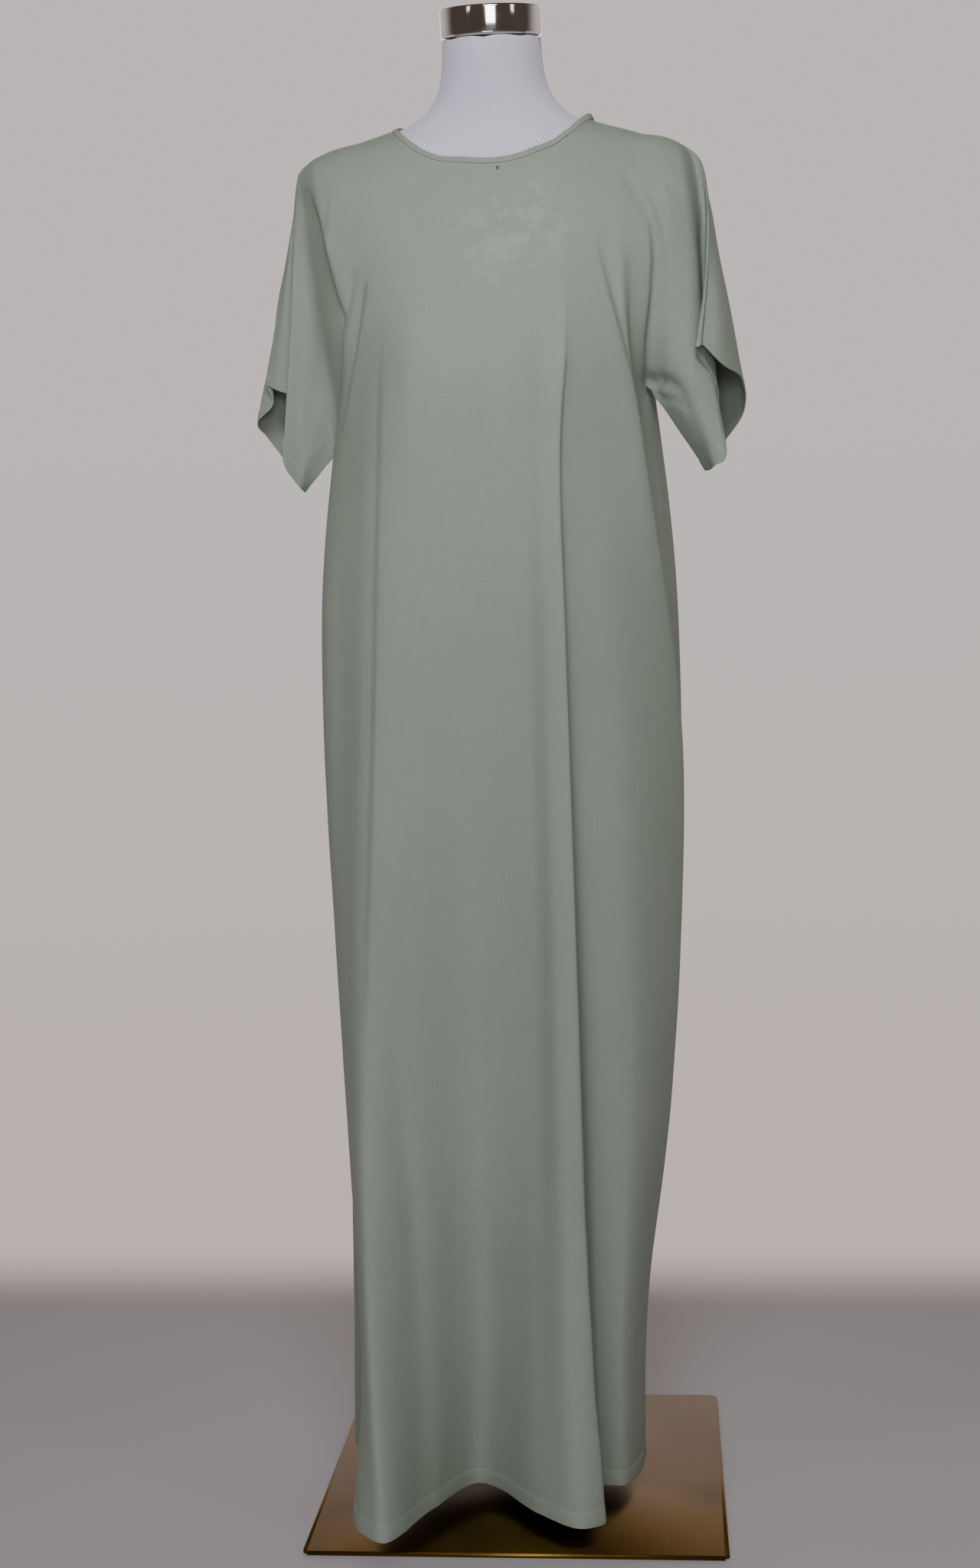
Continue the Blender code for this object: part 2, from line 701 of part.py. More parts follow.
def rim_faces(border, outer, inner):
    """Triangles that close a wall along its border, cut alike on both sides of a seam."""
    faces = []
    for a, b in border:
        if a < b:
            faces += [[outer[b], outer[a], inner[b]], [outer[a], inner[a], inner[b]]]
        else:
            faces += [[outer[b], outer[a], inner[a]], [outer[b], inner[a], inner[b]]]
    return faces


def panel_walls(name, sheet, inward):
    """Close a panel into a wall, its outer face on the sheet, and part it at the seams."""
    panel = sheet.panels[name]
    elsewhere = {i for other, faces in sheet.panels.items() if other != name for face in faces for i in face}
    border = border_edges(panel)
    along = {}
    for a, b in border:
        if a in elsewhere and b in elsewhere:
            step = (sheet.points[b] - sheet.points[a]).normalized()
            for i in (a, b):
                along[i] = along.get(i, Vector()) + step
    used = sorted({i for face in panel for i in face})
    outer = {i: k for k, i in enumerate(used)}
    inner = {i: k + len(used) for k, i in enumerate(used)}
    outside, inside = [], []
    for i in used:
        place = sheet.points[i]
        if i in along:
            place = place + along[i].cross(inward[i]).normalized() * (SEAM_GAP / 2)
        outside.append(place)
        inside.append(place + inward[i])
    faces = [[outer[i] for i in face] for face in panel]
    faces += [[inner[i] for i in reversed(face)] for face in panel]
    faces += rim_faces(border, outer, inner)
    return add_object(name, outside + inside, faces, SAGE_POLYESTER)


def form_ring(height, half_width, front, back, squareness):
    """One ring of the dress form, with the bust added in front."""
    middle = (front + back) / 2
    depth = (back - front) / 2
    tilt = NECK_TILT * min(1.0, max(0.0, (height - NECK_FOOT) / NECK_BEND))
    ring = []
    for step in range(FORM_SEGMENTS):
        angle = 2 * math.pi * (step + 0.5) / FORM_SEGMENTS
        cos, sin = math.cos(angle), math.sin(angle)
        x = half_width * math.copysign(abs(cos) ** (2 / squareness), cos)
        y = middle + depth * math.copysign(abs(sin) ** (2 / squareness), sin)
        if y < middle:
            for side in (-BUST_X, BUST_X):
                spread = ((x - side) / BUST_WIDTH) ** 2 + ((height - BUST_HEIGHT) / BUST_TALL) ** 2
                y -= BUST_FORWARD * math.exp(-spread) * min(1.0, (middle - y) / BUST_BLEND)
        ring.append(Vector((x, y, height + (y - middle) * math.tan(tilt))))
    return ring


def form_body():
    """Torso and neck of the dress form, one smooth closed body."""
    rings = [form_ring(*(value * MM for value in row[:4]), row[4]) for row in FORM_RINGS]
    vertices = [p for ring in rings for p in ring]
    faces = []
    for k in range(len(rings) - 1):
        low, high = k * FORM_SEGMENTS, (k + 1) * FORM_SEGMENTS
        for s in range(FORM_SEGMENTS):
            t = (s + 1) % FORM_SEGMENTS
            faces.append([low + s, low + t, high + t, high + s])
    faces.append(list(reversed(range(FORM_SEGMENTS))))
    top = (len(rings) - 1) * FORM_SEGMENTS
    faces.append(list(range(top, top + FORM_SEGMENTS)))
    return add_object("form_torso", vertices, faces, WHITE_JERSEY)


def lathe(name, profile, spec, segments=40):
    """Closed solid turned about Z from a closed profile of radius and height."""
    mesh = bmesh.new()
    ring = [mesh.verts.new((r, 0, z)) for r, z in profile]
    edges = [mesh.edges.new((a, b)) for a, b in zip(ring, ring[1:])]
    if min(r for r, _ in profile) > 0:
        edges.append(mesh.edges.new((ring[-1], ring[0])))
    bmesh.ops.spin(mesh, geom=ring + edges, axis=(0, 0, 1), cent=(0, 0, 0),
                   steps=segments, angle=2 * math.pi, use_duplicate=False)
    bmesh.ops.remove_doubles(mesh, verts=mesh.verts, dist=0.01 * MM)
    bmesh.ops.recalc_face_normals(mesh, faces=mesh.faces)
    return link_mesh(name, mesh, spec)


def neck_cap():
    """Polished cap on the neck, tilted forward with it."""
    edge = CAP_EDGE * (1 - math.sqrt(0.5))
    profile = (
        (0, 0), (CAP_RADIUS - CAP_EDGE, 0), (CAP_RADIUS - edge, edge), (CAP_RADIUS, CAP_EDGE),
        (CAP_RADIUS, CAP_HEIGHT - CAP_EDGE), (CAP_RADIUS - edge, CAP_HEIGHT - edge),
        (CAP_RADIUS - CAP_EDGE, CAP_HEIGHT), (0, CAP_HEIGHT),
    )
    cap = lathe("neck_cap", profile, CHROMED_STEEL, 48)
    cap.location = (0, NECK_CENTRE_Y, NECK_TOP + GAP)
    cap.rotation_euler = (NECK_TILT, 0, 0)
    return cap


def stand():
    """Pole, its socket and the square base plate."""
    pole_foot = PLATE_THICKNESS + GAP
    lathe("pole", ((0, pole_foot), (POLE_RADIUS, pole_foot), (POLE_RADIUS, POLE_TOP - GAP),
                   (0, POLE_TOP - GAP)), CHROMED_STEEL, 24)
    inside = POLE_RADIUS + GAP
    lathe("pole_socket", ((inside, pole_foot), (SOCKET_RADIUS, pole_foot),
                          (SOCKET_RADIUS, pole_foot + SOCKET_HEIGHT - SOCKET_CHAMFER),
                          (SOCKET_RADIUS - SOCKET_CHAMFER, pole_foot + SOCKET_HEIGHT),
                          (inside, pole_foot + SOCKET_HEIGHT)), CHROMED_STEEL, 32)
    mesh = bmesh.new()
    bmesh.ops.create_cube(mesh, size=1)
    bmesh.ops.scale(mesh, vec=(PLATE_SIDE, PLATE_SIDE, PLATE_THICKNESS), verts=mesh.verts)
    bmesh.ops.translate(mesh, vec=(0, 0, PLATE_THICKNESS / 2), verts=mesh.verts)
    upright = [e for e in mesh.edges if abs(e.verts[0].co.z - e.verts[1].co.z) > PLATE_THICKNESS / 2]
    bmesh.ops.bevel(mesh, geom=upright, offset=PLATE_CORNER_RADIUS, segments=3, affect="EDGES")
    link_mesh("base_plate", mesh, BRUSHED_BRASS, smooth=False)


def dress_sheet(form_tree, form_points):
    """Front and back panels, each with its half of both sleeves, settled on the form."""
    sheet = Sheet()
    joined = TOP_ROWS + CHEST_ROWS
    for panel, column, folds, hem, depth, drop, left_folds, right_folds in (
        ("front_panel", "front", FRONT_FOLDS, FRONT_HEM, -NECK_FRONT_DEPTH, NECK_FRONT_DROP,
         LEFT_SLEEVE_FRONT, RIGHT_SLEEVE_FRONT),
        ("back_panel", "back", BACK_FOLDS, BACK_HEM, NECK_BACK_DEPTH, NECK_BACK_DROP,
         LEFT_SLEEVE_BACK, RIGHT_SLEEVE_BACK),
    ):
        body = body_grid(folds, hem, column, depth, drop)
        left_line = [row[0] for row in body[:joined + 1]]
        right_line = [row[-1] for row in body[:joined + 1]]
        left = sleeve_grid(LEFT_OVERARM, left_folds, left_line, LEFT_UNDERARM_END)
        right = sleeve_grid(RIGHT_OVERARM, right_folds, right_line, RIGHT_UNDERARM_END)
        behind = column == "back"
        sheet.add_grid(panel, body, behind)
        sheet.add_grid(panel, left, behind)
        sheet.add_grid(panel, right, not behind)
    push_off_form(sheet, form_tree, form_points, CLOTH_WALL + FORM_CLEARANCE)
    return sheet


def neckline_loop(sheet):
    """Indices of the points round the neckline, in order."""
    border = border_edges(sheet.all_faces())
    after = {a: b for a, b in border if min(sheet.points[a].z, sheet.points[b].z) > NECKLINE_LOWEST}
    start = min(after)
    loop = [start]
    while after[loop[-1]] != start:
        loop.append(after[loop[-1]])
    return loop


def neck_binding(sheet, inward, form_tree):
    """Narrow bound edge that goes on from the panels' rim round the neckline."""
    loop = neckline_loop(sheet)
    half = BINDING_THICKNESS / 2
    size = 5
    vertices, faces = [], []
    for step, i in enumerate(loop):
        place, out = sheet.points[i], -inward[i].normalized()
        ahead = sheet.points[loop[(step + 1) % len(loop)]]
        behind = sheet.points[loop[step - 1]]
        along = (ahead - behind).normalized()
        rise = along.cross(out).normalized()
        wall = inward[i].length
        outer_foot = place + rise * GAP + out * (half - CLOTH_WALL / 2)
        inner_foot = place + rise * GAP - out * (wall + half - CLOTH_WALL / 2)
        crown = place + rise * (GAP + BINDING_WIDTH) - out * (CLOTH_WALL / 2)
        spot, away, _, _ = form_tree.find_nearest(crown)
        lack = half + BINDING_CLEARANCE - (crown - spot).dot(away)
        if lack > 0:
            crown = crown + away * lack
        neck = crown - (crown - place) * (half / BINDING_WIDTH)
        vertices += [outer_foot, neck + out * half, crown, neck - out * half, inner_foot]
        here, there = step * size, ((step + 1) % len(loop)) * size
        for k in range(size - 1):
            faces.append([here + k, there + k, there + k + 1, here + k + 1])
        last = size - 1
        if i < loop[(step + 1) % len(loop)]:
            faces += [[here + last, there + last, here], [there + last, there, here]]
        else:
            faces += [[here + last, there + last, there], [here + last, there, here]]
    mesh = bmesh.new()
    points = [mesh.verts.new(v) for v in vertices]
    for face in faces:
        mesh.faces.new([points[i] for i in face])
    bmesh.ops.recalc_face_normals(mesh, faces=mesh.faces)
    return link_mesh("neck_binding", mesh, SAGE_POLYESTER)


def build():
    clear_scene()
    torso = form_body()
    corners = [v.co.copy() for v in torso.data.vertices]
    form_tree = BVHTree.FromPolygons(corners, [list(p.vertices) for p in torso.data.polygons])
    covered = [p for p in corners if FORM_COVERED[0] < p.z < FORM_COVERED[1]]
    neck_cap()
    stand()
    sheet = dress_sheet(form_tree, covered)
    normals = sheet.normals()
    inward = sheet.inward(normals)
    panel_walls("front_panel", sheet, inward)
    panel_walls("back_panel", sheet, inward)
    neck_binding(sheet, inward, form_tree)


build()
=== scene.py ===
"""Looks of the inner dress of an abaya set, worn by a limbless dress form on a square metal base.

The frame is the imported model's: metres, +Z up, the front faces -Y. The tables give millimetres.
Left and right are as seen from the front, so left is -X.
"""

import math

import bmesh
import bpy
import numpy as np
from mathutils import Matrix, Vector, noise
from mathutils.bvhtree import BVHTree


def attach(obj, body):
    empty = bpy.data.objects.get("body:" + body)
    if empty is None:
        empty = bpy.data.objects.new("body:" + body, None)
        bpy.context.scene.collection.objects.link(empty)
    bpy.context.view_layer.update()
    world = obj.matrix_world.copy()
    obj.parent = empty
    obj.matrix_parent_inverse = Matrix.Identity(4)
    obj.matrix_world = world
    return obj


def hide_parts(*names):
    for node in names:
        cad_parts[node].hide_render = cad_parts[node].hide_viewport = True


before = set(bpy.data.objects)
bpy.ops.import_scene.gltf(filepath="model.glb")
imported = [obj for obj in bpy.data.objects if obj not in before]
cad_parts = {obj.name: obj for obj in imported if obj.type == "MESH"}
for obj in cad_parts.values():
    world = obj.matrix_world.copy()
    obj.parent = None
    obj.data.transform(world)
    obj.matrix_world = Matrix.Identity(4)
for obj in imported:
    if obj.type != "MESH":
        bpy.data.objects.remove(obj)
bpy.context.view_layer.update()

MM = 0.001

# Photograph's camera: its frame in pixels, where it stands and how it is turned
FRAME_TALL_PX = 2048
FOCAL_PX = 2601.4
SENSOR_MM = 36.0
CAMERA_PLACE = (0.1486, -1.9992, 0.8477)
CAMERA_AZIMUTH = math.radians(4.855)
CAMERA_DOWN = math.radians(3.9)
CAMERA_ROLL = math.radians(-1.46)

# Thin cloth, and how it lies on the form
CLOTH_WALL = 0.45 * MM
HEM_WALL = 1.1 * MM
FORM_CLEARANCE = 2.2 * MM
FORM_REACH = 18 * MM
FORM_COVERED = (715 * MM, 1362 * MM)
LARGEST_PUSH = 3 * MM
SETTLE_PASSES = 8
SEAM_HALF_GAP = 0.12 * MM
SEAM_DEPTH = 0.9 * MM
HEM_DEPTH = 8 * MM
SHORTEST_SPAN = 0.1 * MM
LEAST_LENGTH = 1e-12
SETTLED = 0.02 * MM
MOVED_SHARE = 0.8
MOVED_ROUNDS = 6
FIRST_SMOOTHING = 4
LAST_SMOOTHING = 2

# Rows of fine cells down the cloth, and how many fine cells a cell of the tables holds
TOP_ROWS = 26
CHEST_ROWS = 34
SKIRT_ROWS = 120
CUFF_ROWS = 16
HEM_ROWS = 9
STITCH_ROW = 6
EDGE_BLEND_ROWS = 14
FINE_CELLS = 5
ARMHOLE_CELLS = 3
UNDERARM_CELLS = 2
TOP_SHARE = 4 / 9
RELAX_PASSES = 60
SLEEVE_RELAX_PASSES = 10
# Rows lie close together over this much of the hem's depth, on a skirt and a cuff about so long
CLOSE_ROWS = 1.4
SKIRT_LENGTH = 1050 * MM
CUFF_LENGTH = 60 * MM

# Where the cloth is evened out over the shoulders
DRAPED_FROM = 1225 * MM
DRAPED_HALF_WIDTH = 178 * MM
DRAPED_BLEND = 40 * MM
DRAPE_PASSES = 90
SEAM_DRAPE = 0.3

# Neckline of the dress
NECK_HALF_WIDTH = 99.3 * MM
NECK_CENTRE_X = -1.2 * MM
NECK_POINT_HEIGHT = 1363 * MM
NECK_FRONT_DEPTH = 69 * MM
NECK_FRONT_DROP = 54 * MM
NECK_BACK_DEPTH = 66 * MM
NECK_BACK_DROP = -3 * MM
NECK_DIP = 1.6
NECK_DIP_SLANT = 0.6
NECK_POINT_WIDTH = 0.05 * MM
BINDING_WIDTH = 6 * MM
BINDING_HALF = 1.1 * MM
BINDING_CLEARANCE = 1.4 * MM
BINDING_CELL = 1.5 * MM
NECK_STITCH_DROP = 1.3 * MM
NECK_STITCH_LIFT = 0.12 * MM

# Section of the neck binding: how far up from the neckline, how far out
BINDING_SECTION = (
    (0.1, 0.1), (0.35, 0.5), (1.2, 0.85), (3.0, 1.0), (4.8, 0.8), (5.8, 0.35), (6.3, -0.25),
    (5.9, -0.85), (4.8, -1.2), (3.0, -1.3), (1.2, -1.15), (0.3, -0.7), (0.35, -0.4), (1.2, -0.75),
    (3.0, -0.9), (4.8, -0.78), (5.5, -0.25), (4.8, 0.3), (3.0, 0.55), (1.2, 0.4), (0.5, -0.05),
)

# Shoulder seam: distance from the middle, height
SHOULDER_SEAM = (
    (98, 1363.5),
    (110, 1358.5),
    (122, 1355.5),
    (137, 1352.5),
    (150, 1349),
    (163, 1345),
    (176, 1339),
    (184, 1335),
    (190, 1330.5),
    (196.5, 1324.5),
)

# Heights at which the fold tables below give x and y
HEIGHTS = (1240, 1180, 1130, 1040, 930, 790, 550, 360, 170, 20)
CHEST_HEIGHT = 1240
SEAM_ROLL = 40 * MM
# Beside the neck points the cloth dips at once, so it rolls less over the seam
FLAT_ROLL = 0.45
FLAT_ROLL_REACH = 40 * MM

# Folds of the front body, from the left side seam to the right one
# name, x on the top edge, cells to the next fold, x at each height, y at each height
FRONT_FOLDS = (
    ("flank", -150, 2,
     (-142, -143, -143, -161, -173, -176, -169, -158, -145, -156),
     (-70, -76, -74, -58, -69, -75, -88, -107, -140, -169)),
    ("left_hollow", -122, 2,
     (-119, -120, -122, -136, -148, -152, -157, -152, -142, -142),
     (-80, -92, -97, -95, -98, -102, -118, -143, -170, -196)),
    ("left_ridge", -100.5, 3,
     (-96, -97, -98, -105, -111, -117, -129, -134, -130, -120),
     (-88, -108, -125, -129, -129, -134, -151, -175, -195, -211)),
    ("left_face", -64, 3,
     (-66, -68, -70, -72, -75, -78, -84, -86, -84, -82),
     (-91, -121, -145, -143, -138, -137, -142, -149, -150, -140)),
    ("middle_hollow", -14, 3,
     (-15, -15, -15, -18, -20, -22, -26, -30, -34, -42),
     (-92, -119, -141, -139, -131, -126, -121, -116, -102, -84)),
    ("right_face", 34, 2,
     (28, 29, 30, 28, 28, 28, 27, 25, 22, 22),
     (-91, -119, -142, -142, -138, -137, -139, -144, -150, -153)),
    ("ridge_face", 62, 2,
     (50, 52, 52, 47, 47, 48, 50, 52, 55, 60),
     (-90, -121, -147.5, -147, -146.5, -149, -157, -167, -177, -180)),
    ("right_ridge", 84, 1,
     (66, 69, 71, 62, 63, 65, 68, 70, 75, 84),
     (-88, -120, -147, -146, -148, -151, -158, -165, -172, -167)),
    ("ridge_turn", 89, 2,
     (70, 72, 73.5, 63.5, 64.5, 66.5, 69.5, 71.5, 76.5, 85.5),
     (-87.5, -119, -145, -142, -144, -147, -154, -161, -168, -163)),
    ("right_hollow", 98.1, 2,
     (78, 78, 77, 60, 61, 64, 70, 74, 77, 79),
     (-86, -116, -142, -139, -137, -131, -118, -100, -92, -86)),
    ("right_plain", 104, 2,
     (96, 97, 100, 108, 113, 123, 122, 116, 104, 102),
     (-82, -105, -125, -110, -103, -99, -97, -94, -92, -83)),
    ("side_fold", 110, 1,
     (113, 117, 122, 139, 154, 171, 166, 151, 124, 119),
     (-78, -92, -104, -88, -70, -45, -35, -30, -34, -41)),
    ("side_turn", 113, 1,
     (122, 125, 128, 140.5, 155, 172, 167, 152, 125, 120),
     (-76, -88, -96, -80, -62, -38, -29, -23, -26, -31)),
    ("side_return", 116, 2,
     (134, 131, 130, 136, 149, 166, 161, 147, 125, 122),
     (-71, -77, -79, -48, -34, -18, -15, -8, -5, -4)),
)

# Folds of the back body, in the same order and with the same top edge as the front's
# name, x on the top edge, cells to the next fold, x at each height, y at each height
BACK_FOLDS = (
    ("flank", -150, 2,
     (-150, -155, -160, -168, -174, -177, -178, -180, -182, -184),
     (74, 78, 74, 56, 54, 60, 52, 45, 38, 30)),
    ("left_side", -122, 2,
     (-128, -133, -138, -146, -149, -153, -158, -162, -165, -168),
     (98, 102, 102, 98, 98, 110, 106, 104, 100, 98)),
    ("left_hollow", -100.5, 3,
     (-100, -104, -107, -110, -112, -113, -112, -110, -108, -106),
     (108, 112, 112, 112, 112, 124, 118, 112, 104, 98)),
    ("left_ridge", -62, 3,
     (-62, -63, -64, -66, -68, -70, -72, -74, -75, -76),
     (112, 116, 118, 120, 122, 136, 142, 150, 158, 164)),
    ("middle_hollow", -14, 3,
     (-14, -15, -15, -16, -17, -18, -19, -20, -20, -20),
     (112, 116, 118, 119, 120, 133, 132, 128, 124, 120)),
    ("right_ridge", 34, 2,
     (32, 32, 32, 31, 30, 29, 28, 28, 28, 28),
     (112, 116, 118, 120, 122, 136, 143, 150, 158, 166)),
    ("right_hollow", 64, 2,
     (60, 61, 62, 64, 64, 62, 60, 58, 57, 56),
     (111, 115, 117, 118, 118, 131, 126, 120, 113, 108)),
    ("side_ridge", 84, 3,
     (84, 87, 90, 94, 96, 94, 90, 88, 86, 84),
     (109, 112, 113, 114, 114, 127, 131, 137, 143, 148)),
    ("side_hollow", 98.1, 2,
     (102, 108, 112, 118, 124, 124, 117, 108, 101, 98),
     (104, 106, 105, 103, 101, 112, 109, 107, 105, 103)),
    ("right_side", 104, 2,
     (118, 123, 128, 138, 146, 148, 140, 128, 113, 108),
     (94, 94, 92, 88, 84, 94, 92, 92, 93, 94)),
    ("right_flank", 110, 2,
     (136, 138, 140, 154, 164, 168, 158, 143, 119, 114),
     (88, 82, 76, 62, 54, 64, 62, 64, 66, 68)),
    ("right_return", 116, 2,
     (153, 152, 149, 160.5, 170, 173.5, 163, 148, 122, 118),
     (76, 67, 55, 34, 28, 34, 34, 40, 46, 50)),
)

# Armhole line, where the sleeve's fold meets the body, down to the armpit
# height, front x, front y, back x, back y
LEFT_ARMHOLE = (
    (1240, -165, -61, -168, 54),
    (1180, -151, -67, -164, 58),
    (1120, -155, -54, -165, 44),
    (1075, -161, -26, -167, 14),
    (1047, -164, -8, -164, -8),
)
RIGHT_ARMHOLE = (
    (1240, 156, -61, 167, 67),
    (1190, 153, -61, 163, 58),
    (1150, 149, -55, 152, 36),
    (1120, 147, -42, 146, 8),
    (1099, 145, -22, 145, -22),
)
LEFT_ARMHOLE_TOP_X = -180
RIGHT_ARMHOLE_TOP_X = 122
ARMPIT_BLEND = 20

# Side seams below the armpit
# height, left x, left y, right x, right y
SIDE_SEAMS = (
    (1040, -165, -6, 152.5, -12),
    (930, -173, 4, 156.5, -3),
    (790, -176, 10, 165, 3),
    (550, -170, 2, 154, 9),
    (360, -163, -10, 141, 15),
    (170, -157, -24, 121, 24),
    (20, -154, -40, 119, 27),
)

# Height of the hem under each fold, front and back, from side seam to side seam
FRONT_HEM = (21, 20, 19, 18, 20, 22, 22, 20, 19, 20, 21, 21, 21, 21, 21, 22)
BACK_HEM = (21, 21, 20, 20, 19, 20, 19, 20, 19, 20, 21, 21, 21, 22)

# Sleeves: one row a fold, from the overarm seam to the armhole line
# name, cells from the line before, x, y and height at the shoulder, upper arm, middle, armpit and hem
LEFT_OVERARM = (
    (-196.5, 0, 1324.5), (-203, 0, 1285), (-213, 3, 1240), (-225, 6, 1185), (-239.5, 6, 1119),
)
LEFT_SLEEVE_FRONT = (
    ("flap", 2,
     ((-195, 0, 1326), (-202, -5, 1284), (-209, -4, 1238), (-217, -1, 1179), (-227, 0, 1112))),
    ("valley", 2,
     ((-193, 0, 1328), (-199, -8, 1282), (-200, -3, 1236), (-201, 1, 1172), (-206, 2, 1101))),
    ("crest", 2,
     ((-190.5, 0, 1330), (-198.5, -17, 1288), (-203, -18, 1232), (-208, -20, 1155), (-218, -22, 1039))),
    ("face", 2,
     ((-187.5, 0, 1332.5), (-191, -24, 1285), (-191, -20, 1222), (-193, -17, 1138), (-208, -15, 1019))),
    ("fold", 2,
     ((-184, 0, 1335), (-184, -34, 1279), (-177, -34, 1200), (-178, -26, 1112), (-203, -10, 1012))),
)
LEFT_SLEEVE_BACK = (
    ("leaf", 2,
     ((-195, 0, 1326), (-204, 5, 1285), (-214.5, 10, 1239), (-227.5, 13, 1182), (-232, 9, 1099))),
    ("edge", 2,
     ((-193, 0, 1328), (-204.5, 12, 1283), (-214.5, 14, 1236), (-228.5, 16, 1176), (-251, 18, 1081))),
    ("outer", 2,
     ((-190.5, 0, 1330), (-202, 22, 1282), (-210, 28, 1228), (-222, 34, 1160), (-245, 36, 1070))),
    ("face", 2,
     ((-187.5, 0, 1332.5), (-197, 38, 1279), (-200, 50, 1215), (-206, 54, 1140), (-231, 45, 1049))),
    ("inner", 2,
     ((-184, 0, 1335), (-186, 48, 1276), (-184, 62, 1198), (-186, 50, 1108), (-214, 24, 1022))),
)
LEFT_UNDERARM_END = (-200, 0, 1008)

RIGHT_OVERARM = (
    (196.5, 0, 1324.5), (207.5, -9, 1290), (208, -31, 1233), (204, -50, 1181), (198.5, -58, 1132.5),
)
RIGHT_SLEEVE_FRONT = (
    ("tip", 1,
     ((193.5, 0, 1327.5), (207, -14, 1288), (206.3, -38, 1230), (201.7, -55.5, 1179), (194, -64, 1129.5))),
    ("return", 1,
     ((190.5, 0, 1330), (205.5, -17.5, 1287), (203.8, -36, 1228), (199.3, -52.5, 1177),
      (191.3, -60.5, 1128.5))),
    ("valley", 2,
     ((186.5, 0, 1333), (203, -14, 1285), (205, -10, 1224), (208.5, -22, 1166), (212, -30, 1094))),
    ("tuck", 1,
     ((183, 0, 1335.5), (199, -15, 1284), (200.5, -9, 1220), (203.5, -16, 1158), (214, -24, 1078))),
    ("crest", 2,
     ((176, 0, 1339), (186.5, -43, 1284), (194, -46, 1214), (200, -39, 1148), (219, -42, 1024))),
    ("face", 2,
     ((164, 0, 1344.5), (177, -49, 1286), (181, -57, 1212), (183, -53, 1136), (209, -38, 1019))),
    ("fold", 2,
     ((146, 0, 1350), (164, -56, 1284), (168, -63, 1204), (163, -50, 1124), (204, -22, 1016))),
)
RIGHT_SLEEVE_BACK = (
    ("turn", 2,
     ((190.5, 0, 1330), (208, 6, 1288), (213.5, -17, 1232), (216, -42, 1178), (217, -48, 1115))),
    ("edge", 2,
     ((186.5, 0, 1333), (208.5, 18, 1286), (218, 3, 1228), (228, -6, 1172), (238, -8, 1105))),
    ("outer", 3,
     ((176, 0, 1339), (203, 32, 1283), (215, 26, 1222), (227, 24, 1160), (241, 28, 1077))),
    ("face", 2,
     ((164, 0, 1344.5), (192, 48, 1280), (201, 54, 1210), (207, 56, 1130), (222, 43, 1050))),
    ("inner", 2,
     ((146, 0, 1350), (174, 66, 1278), (179, 67, 1196), (180, 50, 1118), (207, 14, 1025))),
)
RIGHT_UNDERARM_END = (200, -10, 1017)
SLEEVE_STATIONS = (0.0, 1 / 3, 2 / 3, 1.0, 1.3)
SHOULDER_ROUNDING = 0.2

